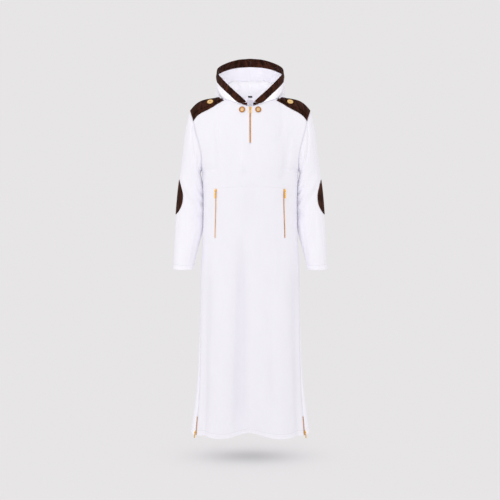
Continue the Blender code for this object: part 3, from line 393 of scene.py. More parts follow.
def flap_rise(points):
    """How far an epaulette stands off its patch at some points, besides the gap."""
    return FLAP_RISE * ease((FLAP_START - np.abs(points[:, 0])) / FLAP_RUN)


# ---------------------------------------------------------------- the sleeve's surface


def sleeve_point(ring, way):
    """The left sleeve. way: round the ring, from 0 at the shoulder to 1 at the armpit over
    the front, or to -1 over the back."""
    ring, way = np.broadcast_arrays(np.asarray(ring, float), np.asarray(way, float))
    s = {name: read(SLEEVE, name, "ring", ring) for name in SLEEVE if name != "ring"}
    rise = 1 - np.abs(way)
    turn = np.radians(np.sign(way) * read(ARMHOLE, "turn", "rise", rise))

    def oval(s):
        x = (s["outer_x"] + s["inner_x"] + np.cos(turn) * (s["outer_x"] - s["inner_x"])) / 2
        z = (s["outer_z"] + s["inner_z"] + np.cos(turn) * (s["outer_z"] - s["inner_z"])) / 2
        y = (s["front"] + s["back"] + np.sin(turn) * (s["front"] - s["back"])) / 2
        return np.stack([x, y, z], -1)

    first = oval({name: column[0] for name, column in SLEEVE.items()})
    seam = armhole_point(np.where(way > 0, -1, 1), 1, rise)
    return oval(s) + s["armhole"][..., None] * (seam - first)


# ---------------------------------------------------------------- the hood's surface


def hood_point(angle, share):
    """The hood at an angle round the neck (0 front, 180 back, negative on the wearer's
    right) and a share of the way from the neck seam to the free edge."""
    angle, share = np.broadcast_arrays(np.asarray(angle, float), np.asarray(share, float))
    side, angle = np.where(angle < 0, -1.0, 1.0), np.abs(angle)
    front = angle <= 90
    u = np.where(front, angle, 180 - angle) * NECK_U / 90
    neck = np.where(front[..., None], neck_point(-1, u), neck_point(1, u))
    edge = np.stack([read(HOOD_EDGE, name, "angle", angle) for name in "xyz"], -1)
    straight = neck + (edge - neck) * share[..., None]
    bag = ease((angle - BAG_FROM) / BAG_OVER)
    bag_y, bag_z = (
        read(HOOD_BACK, name, "share", share) - (line[0] + (line[-1] - line[0]) * share)
        for name, line in (("y", HOOD_BACK["y"]), ("z", HOOD_BACK["z"]))
    )
    bulge = HOOD_BULGE * ease((angle - BULGE_FROM) / BAG_OVER) * (1 - bag)
    bulge = bulge * np.sin(math.pi * share**0.7)
    out = bulge + bag * bag_y
    turn = np.radians(angle)
    shift = np.stack([out * np.sin(turn), -out * np.cos(turn), bag * bag_z], -1)
    return (straight + shift) * np.stack([side, 0 * side + 1, 0 * side + 1], -1)


def band_share(angle):
    """The share of the hood's section at which the band begins."""
    shares = np.linspace(1, 0, 401)
    line = hood_point(angle, shares)
    return float(np.interp(read(BAND, "width", "angle", abs(angle)), along(line), shares))


# ---------------------------------------------------------------- creases, hems and stitches

TINY = 1e-6
EDGES_MEET = 0.05 * MM  # points on two panels' edges that are this near are one
SAME_PLACE = 0.02 * MM  # and points of one piece
CELL = 0.021  # the fine grid's cells, as a share of a panel's half width or upper height
SKIRT_CELL = 0.0085  # and up the skirt, metres
SLEEVE_CELL = 0.13  # and down a sleeve, rings
HOOD_CELL = 0.011  # and up the hood, shares
CENTRE_ANGLES = (178.0, 179.3, 180.0)  # more of the hood's columns, near its centre seam
BAND_ROWS = 8
BAND_GAP = 0.04 * MM  # where its halves meet
SEAM_DIP = 1.5 * MM  # how deep cloth is drawn in at a seam, and over what distance
SEAM_REACH = 4.2 * MM
SEAM_PAINTED_SHADE = 0.15  # how much painted shade darkens the cloth there, and over what distance
PAINTED_SHADE_REACH = 5 * MM
FOLD_PAINTED_SHADE = 0.050  # how much painted shade darkens a fold of this depth, past a quiet one
FOLD_DEEP = 12 * MM
QUIET_DEEP = 1 * MM
SEAM_ROOM = 14 * MM  # how far from an edge its points are moved along with it
HEM_STITCHES = (12 * MM, 20 * MM)  # rows of stitches up from a hem or cuff
HEM_ROWS = tuple(n * MM for n in (3.0, 8.0, 10.5, 12.0, 13.5, 16.0, 18.5, 20.0, 21.5, 24.0))
# The turned hem's double cloth is paler; the darker band over its upper row of stitches is painted
# shade.
HEM_LOOKS = (("white_hem", 0.0, 18.5 * MM), ("white_painted_stitch_shade", 18.5 * MM, 21.5 * MM))
HEM_PROUD = 0.5 * MM  # how far a turned hem stands out
HEM_SIDE = 0.35  # share of the front's half over which its hem rises from the side
HEM_WAVE = 0.24  # and the width of its middle's arch and of the two lobes beside it
HEM_LOBE = 5 * MM  # how much lower the hem is at the lobes
LOBE_AT = 0.5
CUFF_RING = 0.045  # metres a ring near the cuff
STITCH_DIP = 0.7 * MM
STITCH_REACH = 1.5 * MM
POCKET_SEAM_ROWS = (-0.0788, -0.0560, 0.0022)  # finer rows there, above the armpit
POCKET_SEAM_IN = 3 * MM  # from the pocket's upper edge
POCKET_SEAM = sorted(corner for corner in POCKET if corner[1] > -0.1)
SEAM_FADE = 0.02  # share of the front's half over which that seam's dip dies away at its ends
ROW_ROOM = 6 * MM  # the least between a skirt's row and the top of its last stretch
TAPE_OVER = 0.012  # how far the neck's tape goes over its seam, as a share of the hood
NECK_ZIP_MORE = 0.028  # rises that the neck zip goes further down
SLIT_STITCH = 2.6 * MM  # stitches beside a zip's slit
EDGE_IN = 2.6 * MM  # stitches from the edges of what is sewn on
CORNER = 0.85  # cosine of the sharpest turn that a row of stitches goes round
CALM = 0.10  # shares over which creases die away at a panel's top or the hood's edges
SIDE_CALM = 0.14  # and at a panel's sides
SLEEVE_CALM = 0.7  # and rings at a sleeve's top
CENTRE_CALM = 0.08  # and shares beside the hood's centre seam, where CENTRE_KEPT is kept
CENTRE_KEPT = 0.15
RIPPLE = {"body": 0.9 * MM, "sleeve": 0.8 * MM, "hood": 0.8 * MM}  # height of quiet waves
WAVES = 9
SLEEVE_SPAN = (0.25, 0.65)  # metres round and down a sleeve that the waves take it to have
HOOD_SPAN = 0.35  # and each way over the hood
CREASE_FULL = 0.3  # share of its length, each way from its middle, that a crease keeps its depth
CREASE_FADE = 0.13  # and over which it then dies away
LIP, LIP_AT, LIP_WIDE = 0.42, 1.9, 1.6  # the ridge beside a crease, in shares of the crease

# Smaller creases of the body, in X and Z, metres.
CREASES = table("panel a0 b0 a1 b1 bow width depth", [
    (-1, -0.006, -0.160, -0.024, -0.320, 0.002, 0.0080, -0.0060),
    (-1, -0.150, -0.120, -0.140, -0.300, 0.006, 0.0080, -0.0022),
    (-1, 0.158, -0.130, 0.118, -0.345, 0.010, 0.0090, -0.0030),
    (-1, 0.135, -0.080, 0.100, -0.190, 0.005, 0.0080, -0.0014),
    (-1, -0.120, -0.085, -0.090, -0.180, -0.004, 0.0080, -0.0012),
    (-1, -0.168, -0.600, -0.188, -1.400, 0.003, 0.0210, -0.0038),
    (-1, -0.036, -0.560, -0.052, -1.390, 0.005, 0.0270, -0.0125),
    (-1, 0.176, -0.620, 0.190, -1.400, -0.003, 0.0230, -0.0022),
    (-1, -0.100, -0.900, -0.098, -1.300, 0.003, 0.0160, -0.0018),
    (-1, 0.078, -0.780, 0.086, -1.330, 0.004, 0.0150, -0.0022),
    (-1, 0.020, -0.420, 0.034, -0.760, 0.004, 0.0120, -0.0016),
    (-1, -0.095, -0.560, -0.085, -0.820, 0.006, 0.0120, -0.0016),
    (-1, 0.120, -0.600, 0.112, -0.800, 0.004, 0.0100, -0.0016),
    (1, 0.060, -0.120, 0.075, -0.380, 0.006, 0.0110, -0.0026),
    (1, -0.075, -0.130, -0.080, -0.360, -0.005, 0.0110, -0.0024),
    (1, 0.150, -0.120, 0.135, -0.320, 0.008, 0.0090, -0.0026),
    (1, -0.155, -0.130, -0.140, -0.330, -0.006, 0.0090, -0.0024),
    (1, 0.010, -0.420, -0.008, -0.900, 0.006, 0.0140, -0.0024),
    (1, 0.120, -0.500, 0.150, -1.200, 0.006, 0.0150, -0.0030),
    (1, -0.125, -0.560, -0.150, -1.250, 0.004, 0.0150, -0.0030),
    (1, 0.045, -0.950, 0.050, -1.350, 0.003, 0.0160, -0.0022),
    (1, -0.040, -0.880, -0.052, -1.350, -0.004, 0.0160, -0.0022),
])

# Creases of the sleeves: a is half turns from the outer point (0.5 is the middle of the
# front, 1 the inside), b the share of the way down.
SLEEVE_CREASES = table("a0 b0 a1 b1 bow width depth", [
    (0.30, 0.030, 0.62, 0.250, 0.030, 0.036, -0.0050),
    (0.62, 0.040, 0.86, 0.230, 0.015, 0.040, -0.0030),
    (0.22, 0.455, 0.66, 0.590, -0.012, 0.030, 0.0022),
    (0.30, 0.520, 0.84, 0.660, -0.014, 0.030, -0.0030),
    (0.60, 0.430, 1.02, 0.520, 0.010, 0.024, -0.0040),
    (0.66, 0.540, 1.05, 0.590, 0.008, 0.022, -0.0046),
    (0.64, 0.660, 1.02, 0.650, 0.006, 0.024, -0.0034),
    (0.40, 0.640, 0.52, 0.880, 0.020, 0.045, -0.0018),
    (0.70, 0.720, 0.80, 0.930, 0.015, 0.045, -0.0018),
    (-0.30, 0.050, -0.60, 0.260, 0.020, 0.045, -0.0030),
    (-0.62, 0.060, -0.88, 0.240, 0.015, 0.040, -0.0028),
    (-0.40, 0.480, -0.95, 0.540, 0.012, 0.026, -0.0032),
    (-0.45, 0.610, -0.98, 0.620, 0.010, 0.026, -0.0030),
    (-0.30, 0.560, -0.55, 0.860, 0.016, 0.045, -0.0020),
])
SLEEVE_CREASES_RIGHT = table("a0 b0 a1 b1 bow width depth", [
    (0.28, 0.035, 0.60, 0.235, 0.026, 0.036, -0.0050),
    (0.60, 0.050, 0.84, 0.240, 0.018, 0.040, -0.0030),
    (0.20, 0.470, 0.64, 0.605, -0.014, 0.030, 0.0024),
    (0.28, 0.540, 0.82, 0.670, -0.010, 0.030, -0.0034),
    (0.62, 0.440, 1.02, 0.530, 0.012, 0.024, -0.0040),
    (0.66, 0.560, 1.05, 0.600, 0.008, 0.022, -0.0044),
    (0.66, 0.670, 1.00, 0.665, 0.006, 0.024, -0.0030),
    (0.36, 0.620, 0.50, 0.860, 0.016, 0.045, -0.0018),
    (0.72, 0.740, 0.78, 0.940, 0.012, 0.045, -0.0016),
    (-0.28, 0.045, -0.62, 0.250, 0.022, 0.045, -0.0030),
    (-0.60, 0.070, -0.86, 0.250, 0.012, 0.040, -0.0026),
    (-0.42, 0.490, -0.95, 0.550, 0.010, 0.026, -0.0034),
    (-0.48, 0.600, -0.98, 0.615, 0.012, 0.026, -0.0028),
    (-0.32, 0.580, -0.52, 0.840, 0.014, 0.045, -0.0020),
])

# Creases of the hood: a is half turns round the neck from the front, b the share of the way
# from the neck seam to the free edge.
HOOD_CREASES = table("a0 b0 a1 b1 bow width depth", [
    (0.55, 0.080, 0.62, 0.560, 0.020, 0.030, -0.0026),
    (0.72, 0.060, 0.68, 0.420, -0.015, 0.028, -0.0030),
    (0.84, 0.050, 0.90, 0.330, 0.012, 0.026, -0.0026),
    (0.60, 0.620, 0.90, 0.720, 0.025, 0.040, -0.0030),
    (0.35, 0.120, 0.44, 0.560, 0.015, 0.030, -0.0018),
    (0.76, 0.480, 0.97, 0.440, 0.010, 0.030, -0.0030),
    (0.765, 0.860, 0.850, 0.760, 0.0, 0.016, -0.0040),
    (0.850, 0.240, 0.905, 0.050, 0.0, 0.018, -0.0030),
])
HOOD_CREASES_RIGHT = table("a0 b0 a1 b1 bow width depth", [
    (0.56, 0.060, 0.66, 0.600, 0.024, 0.032, -0.0040),
    (0.70, 0.050, 0.64, 0.400, -0.018, 0.028, -0.0040),
    (0.82, 0.050, 0.88, 0.350, 0.010, 0.026, -0.0034),
    (0.58, 0.640, 0.92, 0.700, 0.020, 0.040, -0.0032),
    (0.33, 0.100, 0.42, 0.540, 0.018, 0.030, -0.0020),
    (0.74, 0.500, 0.97, 0.460, 0.012, 0.030, -0.0030),
    (0.790, 0.880, 0.875, 0.740, 0.0, 0.018, -0.0060),
    (0.840, 0.170, 0.905, 0.040, 0.0, 0.020, -0.0045),
])

# ---------------------------------------------------------------- fine cloth


def crease_depth(creases, a, b, panel=0):
    """How far small creases move a surface outwards: each a soft trough or ridge along a line."""
    total = np.zeros(np.broadcast(a, b).shape)
    for c in rows_of(creases):
        if c.get("panel", panel) != panel:
            continue
        run_a, run_b = c["a1"] - c["a0"], c["b1"] - c["b0"]
        length = math.hypot(run_a, run_b)
        t = ((a - c["a0"]) * run_a + (b - c["b0"]) * run_b) / length**2
        across = ((a - c["a0"]) * run_b - (b - c["b0"]) * run_a) / length
        across = across + c["bow"] * 4 * t * (1 - t)
        ends = np.exp(-(np.maximum(np.abs(t - 0.5) - CREASE_FULL, 0) / CREASE_FADE) ** 2)
        width = c["width"] * (0.75 + 0.5 * np.clip(t, 0, 1))
        near = across / width
        shape = np.exp(-(near**2)) - LIP * np.exp(-((near - LIP_AT) ** 2) / LIP_WIDE)
        total += c["depth"] * shape * ends
    return total


def ripple(a, b, size, seed, step=(0.07, 0.40)):
    """A quiet uneven surface, as cloth has between its creases: some waves, longer along b and
    each weaker than the one before."""
    random = np.random.default_rng(seed)
    total = 0.0
    for n in range(WAVES):
        wave_a = 2 * math.pi / (step[0] * random.uniform(0.6, 1.9)) * random.choice([-1, 1])
        wave_b = 2 * math.pi / (step[1] * random.uniform(0.5, 1.6))
        total = total + np.sin(a * wave_a + b * wave_b + random.uniform(0, 6.3)) / (1 + n * 0.3)
    return total * size / 3


def steps(values, size, near_ends=()):
    """The values with more between them, no further apart than size, and some near the ends."""
    found = []
    for low, high in zip(values[:-1], values[1:]):
        count = max(1, math.ceil(abs(high - low) / size - TINY))
        found += [low + (high - low) * n / count for n in range(count)]
    found.append(values[-1])
    sign = 1 if values[-1] > values[0] else -1
    for gap in near_ends:
        found += [values[0] + sign * gap, values[-1] - sign * gap]
    return np.unique(np.round(found, 6))[::sign]


def unit(vectors):
    return vectors / np.linalg.norm(vectors, axis=-1, keepdims=True)


def circle(sides):
    """The cosine and sine of even turns."""
    turns = [2 * math.pi * n / sides for n in range(sides)]
    return [(math.cos(turn), math.sin(turn)) for turn in turns]


def face_out(grid, wrap=False):
    """The normals of a grid whose columns crossed with rows point out."""
    across = np.gradient(grid, axis=1)
    if wrap:
        across[:, 0] = across[:, -1] = grid[:, 1] - grid[:, -2]
    return unit(np.cross(across, np.gradient(grid, axis=0)))


def arc(grid, axis):
    step = np.linalg.norm(np.diff(grid, axis=axis), axis=-1)
    zero = np.zeros_like(np.take(step, [0], axis=axis))
    return np.concatenate([zero, np.cumsum(step, axis=axis)], axis=axis)


def along(line):
    """How far along a line each of its points is."""
    return arc(line[None], 1)[0]


def sample(at, run, values):
    """Rows of values at one or more places along a run."""
    return np.stack([np.interp(at, run, column) for column in values.T], -1)


class Panel:
    """A fine grid of cloth: places P, outward directions N, flat places uv in metres, and the
    across and up values of its columns and rows."""

    def __init__(self, places, across, up, depth, wrap=False):
        out = face_out(places, wrap)
        self.P = places + out * depth[..., None]
        self.N = face_out(self.P, wrap)
        self.across, self.up, self.wrap = np.asarray(across), np.asarray(up), wrap
        self.depth = depth
        wide = arc(places, 1)
        if not wrap:
            wide = wide - wide[:, [wide.shape[1] // 2]]
        self.uv = np.stack([wide, arc(places, 0)], -1)

    def data(self):
        return np.concatenate([self.P, self.N, self.uv], -1)

    def at(self, across, up):
        """Places and directions at (across, up) values."""
        order = np.argsort(self.across)
        j = np.interp(across, self.across[order], order)
        i = np.interp(up, self.up, np.arange(len(self.up)))
        j0 = np.clip(j.astype(int), 0, len(self.across) - 2)
        i0 = np.clip(i.astype(int), 0, len(self.up) - 2)
        s, t = (j - j0)[..., None], (i - i0)[..., None]
        d = self.data()
        low = d[i0, j0] * (1 - s) + d[i0, j0 + 1] * s
        high = d[i0 + 1, j0] * (1 - s) + d[i0 + 1, j0 + 1] * s
        found = low * (1 - t) + high * t
        return found[..., :3], unit(found[..., 3:6])

    def along(self, line, count):
        """Places and directions at count even steps along a line of (across, up) corners."""
        share = np.linspace(0, len(line) - 1, count)
        return self.at(*(np.interp(share, range(len(line)), values) for values in zip(*line)))

    def rows_between(self, low, high):
        return np.flatnonzero((self.up >= low - TINY) & (self.up <= high + TINY))


def share_edges(panels):
    """Where the edges of two panels meet, both get the direction halfway between theirs."""
    total = {}

    def edges(panel):
        rows, columns = panel.P.shape[:2]
        found = [(i, j) for i in (0, rows - 1) for j in range(columns)]
        return found + [(i, j) for j in (0, columns - 1) for i in range(1, rows - 1)]

    def key(point):
        return tuple(np.round(point / EDGES_MEET).astype(int))

    for panel in panels:
        for i, j in edges(panel):
            place = key(panel.P[i, j])
            total[place] = total.get(place, 0) + panel.N[i, j]
    for panel in panels:
        for i, j in edges(panel):
            panel.N[i, j] = unit(total[key(panel.P[i, j])])


def stitch_dip(distance):
    """How a row of stitches draws cloth in."""
    return -STITCH_DIP * np.exp(-((distance / STITCH_REACH) ** 2))


def hem_depth(distance):
    """The turned-up edge stands a little proud as far as its upper row of stitches."""
    proud = HEM_PROUD * ease((HEM_ROWS[-1] - distance) / (HEM_ROWS[-1] - HEM_STITCHES[-1]))
    return proud + sum(stitch_dip(distance - row) for row in HEM_STITCHES)


# A panel's finer grid lines, closer together near a seam.
FINE_U = steps(PANEL_U, CELL, (0.012, 0.005))
FINE_RISES = steps(RISES, CELL, (0.006, 0.014))


def body_panel(panel):
    """Half the robe's body. panel: -1 the front, 1 the back."""
    middle = SLIT_U if panel < 0 else (0.0,)
    u = np.concatenate([-FINE_U[::-1], middle, FINE_U])
    mirror = u[:: -panel]
    z_rows = np.union1d(steps(SKIRT_Z, SKIRT_CELL), HEM_Z + np.array(HEM_ROWS))
    z_rows = z_rows[z_rows < SKIRT_Z[-1] - ROW_ROOM]
    z_rows = np.union1d(z_rows, steps((SKIRT_Z[-1], ARMPIT_Z), SKIRT_CELL)[:-1])
    z_rows = np.union1d(z_rows, ARMPIT_Z + np.arange(*POCKET_SEAM_ROWS))
    off_side = 1 - np.abs(mirror)
    lift = HEM_RISE * ease(off_side / HEM_SIDE) + HEM_ARCH * np.exp(-((mirror / HEM_WAVE) ** 2))
    lift = lift - HEM_LOBE * np.exp(-(((np.abs(mirror) - LOBE_AT) / HEM_WAVE) ** 2))
    lift = lift * (panel < 0)
    hem_share = np.clip((HEM_ZIP_TOP_Z - z_rows) / (HEM_ZIP_TOP_Z - HEM_Z), 0, 1)
    skirt = skirt_point(panel, mirror[None, :], z_rows[:, None] + hem_share[:, None] * lift)
    upper = upper_point(panel, mirror[None, :], FINE_RISES[:, None])
    places = np.concatenate([skirt, upper])
    if panel < 0:
        for sign in (-1, 1):
            column = np.flatnonzero(np.abs(u - SLIT_U[(sign + 1) // 2]) < TINY)[0]
            shift = sign * SLIT_HALF - places[:, column, 0]
            fade = np.clip((PANEL_U[0] - np.abs(u)) / (PANEL_U[0] - SLIT_U[1]), 0, 1)
            fade = fade * (np.sign(u) == sign)
            places[..., 0] += shift[:, None] * fade[None, :]
    x, z = places[..., 0], places[..., 2]
    edge = np.ones(len(places))
    edge[len(z_rows):] = ease((1 - FINE_RISES) / CALM)
    depth = crease_depth(CREASES, x, z, panel) + ripple(x, z, RIPPLE["body"], seed=5 + panel)
    depth = depth * ease(off_side / SIDE_CALM)[None, :] * edge[:, None]
    up = np.concatenate([z_rows - ARMPIT_Z, FINE_RISES])
    depth = depth + hem_depth(up - up[0])[:, None]
    if panel < 0:
        beside = ease((POCKET_SEAM[-1][0] - np.abs(u)) / SEAM_FADE)
        seam = np.interp(u, *zip(*POCKET_SEAM)) - POCKET_SEAM_IN
        depth = depth + stitch_dip(up[:, None] - seam[None, :]) * beside
    return Panel(places, u, up, depth)


def sleeve_panel(side):
    """A sleeve, closed round. side: 1 the wearer's left, -1 the right."""
    ring = steps(SLEEVE["ring"], SLEEVE_CELL, (0.03, 0.09))
    ring = np.union1d(ring, ring[-1] - np.array(HEM_ROWS) / CUFF_RING)
    ways = np.concatenate([FINE_RISES - 1, 1 - FINE_RISES[-2::-1]])
    places = sleeve_point(ring[:, None], ways[None, :])
    turn = np.sign(ways) * read(ARMHOLE, "turn", "rise", 1 - np.abs(ways))
    around = turn[None, :] / 180 + 0 * ring[:, None]
    down = ring[:, None] / ring[-1] + 0 * turn[None, :]
    creases = SLEEVE_CREASES if side > 0 else SLEEVE_CREASES_RIGHT
    depth = sum(crease_depth(creases, around + wrap, down) for wrap in (-2, 0, 2))
    span = SLEEVE_SPAN[0] * np.sin(math.pi * around), SLEEVE_SPAN[1] * down
    depth = depth + ripple(*span, RIPPLE["sleeve"], seed=11 + side)
    depth = depth * ease(ring / SLEEVE_CALM)[:, None]
    depth = depth + hem_depth((ring[-1] - ring) * CUFF_RING)[:, None]
    if side < 0:
        places, depth = places[:, ::-1] * (-1, 1, 1), depth[:, ::-1]
    places[:, -1] = places[:, 0]
    depth[:, -1] = depth[:, 0]
    turn[0], turn[-1] = -180.0, 180.0
    return Panel(places, turn, ring, depth, wrap=True)


def hood_panel(side):
    """Half the hood, from the neck seam to the free edge."""
    near = 90 * FINE_U[FINE_U < NECK_U + TINY] / NECK_U
    angles = np.concatenate([near, 180 - near[-2::-1], CENTRE_ANGLES])
    angles = np.unique(np.round(angles, 6))
    base = steps(HOOD_SHARES, HOOD_CELL, (0.003, 0.008))
    shares = np.empty((len(base) + BAND_ROWS, len(angles)))
    for column, angle in enumerate(angles):
        start = band_share(angle)
        shares[: len(base), column] = base / HOOD_SHARES[-1] * start
        shares[len(base):, column] = np.linspace(start, 1, BAND_ROWS + 1)[1:]
    around = np.broadcast_to(side * angles, shares.shape)
    places = hood_point(around, shares)
    places[:, -1, 0] = 0
    a, b = side * around / 180, shares
    creases = HOOD_CREASES if side > 0 else HOOD_CREASES_RIGHT
    calm = ease(shares / CALM) * ease((1 - shares) / CALM) * ease((a - CALM) / CALM)
    waves = ripple(HOOD_SPAN * a, HOOD_SPAN * b, RIPPLE["hood"], seed=21, step=(0.08, 0.2))
    centre = CENTRE_KEPT + (1 - CENTRE_KEPT) * ease((1 - a) / CENTRE_CALM)
    depth = (crease_depth(creases, a, b) + waves) * calm * centre
    across = side * angles
    if side < 0:
        places, depth, across = places[:, ::-1], depth[:, ::-1], across[::-1]
    up = np.append(base, np.linspace(HOOD_SHARES[-1], 1, BAND_ROWS + 1)[1:])
    return Panel(places, across, up, depth)


# ---------------------------------------------------------------- meshes


def add_object(name, points, faces, look, uvs=None, smooth_angle=50):
    """An object from points, faces and, for each corner of each face, its flat place."""
    mesh = bpy.data.meshes.new(name)
    mesh.from_pydata([tuple(p) for p in points], [], [tuple(int(v) for v in f) for f in faces])
    if uvs is not None:
        layer = mesh.uv_layers.new(name="flat")
        layer.data.foreach_set("uv", np.asarray(uvs, np.float32).ravel())
    mesh.materials.append(LOOKS[look])
    mesh.shade_smooth()
    mesh.set_sharp_from_angle(angle=math.radians(smooth_angle))
    obj = bpy.data.objects.new(name, mesh)
    bpy.context.scene.collection.objects.link(obj)
    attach(obj, "garment")
    return obj


def two_sided(name, points, out, corners, uv_corners, look, low, high):
    """A closed wall from a sheet's faces: corners are point numbers, uv_corners flat places."""
    count = len(points)
    low = np.broadcast_to(low, count)[:, None]
    high = np.broadcast_to(high, count)[:, None]
    both = np.concatenate([points + out * high, points + out * low])
    used = {(f[n], f[(n + 1) % len(f)]): uv[n] for f, uv in zip(corners, uv_corners)
            for n in range(len(f))}
    faces, uvs = [], []
    for face, uv in zip(corners, uv_corners):
        faces.append(face)
        uvs += list(uv)
        faces.append([v + count for v in reversed(face)])
        uvs += list(reversed(uv))
    for (a, b), uv in used.items():
        if (b, a) not in used:
            faces.append((b, a, a + count, b + count))
            uvs += [uv] * 4
    return add_object(name, both, faces, look, uvs)


def grid_faces(number, flat, keep=None):
    """The cells of a grid of numbered points, as faces and their corners' flat places."""
    rows, columns = flat.shape[0] - 1, flat.shape[1] - 1
    cells = [(i, j) for i in range(rows) for j in range(columns) if keep is None or keep[i, j]]
    corners = [[(i, j), (i, j + 1), (i + 1, j + 1), (i + 1, j)] for i, j in cells]
    faces = [[int(number[c]) for c in four] for four in corners]
    return cells, faces, [[flat[c] for c in four] for four in corners]


EDGES = ((1, ("left", "right")), (0, ("bottom", "top")))  # by the axis that runs between them


def shell(name, panel, inset, dips, holes=(), hem=None, unshaded=()):
    """A wall of white cloth over a whole panel, with painted shade kept on its points, darker in
    its folds and beside its seams. inset: how far its left, right, bottom and top edges move in;
    each of left and right may be one number a row. dips: which edges are seams, unshaded: which
    of them get no painted shade. holes: (first row, last row, column) of slits. hem: how far the
    rows are from the turned hem."""
    data = panel.data()
    rows, columns = data.shape[:2]
    seam = np.zeros((rows, columns))
    # painted shade: darker in deep folds and, below, beside seams
    painted_shade = FOLD_PAINTED_SHADE * np.clip((-panel.depth - QUIET_DEEP) / FOLD_DEEP, 0, 1) ** 0.7
    for axis, ends in EDGES:
        run = arc(data[..., :3], axis)
        back = np.take(run, [-1], axis=axis) - run
        for distance, end in zip((run, back), ends):
            if end in dips:
                seam -= SEAM_DIP * np.exp(-((distance / SEAM_REACH) ** 2))
                if end not in unshaded:
                    painted_shade += SEAM_PAINTED_SHADE * np.exp(-((distance / PAINTED_SHADE_REACH) ** 2))
    data[..., :3] += data[..., 3:6] * seam[..., None]
    for axis, ends in EDGES:
        lines = data if axis == 1 else data.swapaxes(0, 1)
        new = lines.copy()
        low, high = (np.broadcast_to(inset.get(end, 0.0), len(lines)) for end in ends)
        for n, line in enumerate(lines):
            if low[n] == 0 and high[n] == 0:
                continue
            run = along(line[:, :3])
            to = run + low[n] * np.clip(1 - run / SEAM_ROOM, 0, 1)
            to -= high[n] * np.clip(1 - (run[-1] - run) / SEAM_ROOM, 0, 1)
            new[n] = sample(to, run, line)
        data = new if axis == 1 else new.swapaxes(0, 1)
    wrap = columns - 1 if panel.wrap else columns
    number = np.arange(rows * wrap).reshape(rows, wrap)
    if panel.wrap:
        number = np.concatenate([number, number[:, :1]], axis=1)
    keep = np.ones((rows - 1, columns - 1), bool)
    for row_from, row_to, column in holes:
        keep[row_from:row_to, column] = False
    cells, faces, uvs = grid_faces(number, data[..., 6:], keep)
    flat = data[:, :wrap].reshape(-1, 8)
    made = two_sided(name, flat[:, :3], unit(flat[:, 3:6]), faces, uvs, "white", -HALF, HALF)
    # the painted shade goes on the cloth's points, for its material to darken the colour
    layer = made.data.attributes.new("painted_shade", "FLOAT", "POINT")
    layer.data.foreach_set("value", np.tile(painted_shade[:, :wrap].ravel(), 2).astype(np.float32))
    if hem is not None:
        middle = (hem[1:] + hem[:-1]) / 2
        for slot, (hem_look, start, end) in enumerate(HEM_LOOKS, 1):
            made.data.materials.append(LOOKS[hem_look])
            for n in np.flatnonzero([start < middle[i] < end for i, _ in cells]):
                for face in (2 * n, 2 * n + 1):
                    made.data.polygons[int(face)].material_index = slot
    return made


def clipped(corners, region):
    """A polygon of (across, up, ...) rows, cut to a convex region of (across, up)."""
    for (ax, ay), (bx, by) in zip(region, region[1:] + region[:1]):
        kept = []
        depth = [(bx - ax) * (c[1] - ay) - (by - ay) * (c[0] - ax) for c in corners]
        for n, corner in enumerate(corners):
            if depth[n] >= 0:
                kept.append(corner)
            if (depth[n] >= 0) != (depth[n - 1] >= 0):
                share = depth[n - 1] / (depth[n - 1] - depth[n])
                crossing = corners[n - 1] + (corner - corners[n - 1]) * share
                kept.insert(len(kept) - (depth[n] >= 0), crossing)
        corners = kept
        if not corners:
            break
    return corners


def overlay(name, parts, look, low, high, rise=None):
    """A wall on some panels' own cells. Each part is (panel, region), a region being a convex
    outline in (across, up) values, anticlockwise from outside. rise gives how much further out
    its points are."""
    points, out, faces, uvs, number = [], [], [], [], {}
    for panel, region in parts:
        wide = np.broadcast_to(panel.across[None, :, None], (*panel.P.shape[:2], 1))
        tall = np.broadcast_to(panel.up[:, None, None], (*panel.P.shape[:2], 1))
        data = np.concatenate([wide, tall, panel.data()], -1)
        (left, low_up), (right, high_up) = np.min(region, axis=0), np.max(region, axis=0)
        columns = np.flatnonzero((np.maximum(panel.across[1:], panel.across[:-1]) >= left)
                                 & (np.minimum(panel.across[1:], panel.across[:-1]) <= right))
        rows = np.flatnonzero((panel.up[1:] >= low_up) & (panel.up[:-1] <= high_up))
        for i in rows:
            for j in columns:
                cell = [data[i, j], data[i, j + 1], data[i + 1, j + 1], data[i + 1, j]]
                face, flat = [], []
                for row in clipped(cell, region):
                    place = tuple(np.round(row[2:5] / SAME_PLACE).astype(int))
                    if place not in number:
                        number[place] = len(points)
                        points.append(row[2:5])
                        out.append(row[5:8])
                    if not face or number[place] != face[-1]:
                        face.append(number[place])
                        flat.append(row[8:10])
                if len(face) > 1 and face[0] == face[-1]:
                    face.pop()
                    flat.pop()
                if len(set(face)) > 2:
                    faces.append(face)
                    uvs.append(flat)
    points, out = np.array(points), unit(np.array(out))
    extra = rise(points) if rise else 0.0
    return two_sided(name, points, out, faces, uvs, look, low + extra, high + extra)


def slit_runs(panel, columns, low, high):
    """Runs for thread beside a slit, from a place in its middle between two columns."""
    rows = panel.rows_between(low, high)
    sides = [(panel.P[rows, column], panel.N[rows, column]) for column in columns]
    away = unit(sides[1][0] - sides[0][0]) * SLIT_STITCH
    return [(place + away * sign + out * HALF, out) for sign, (place, out) in zip((-1, 1), sides)]


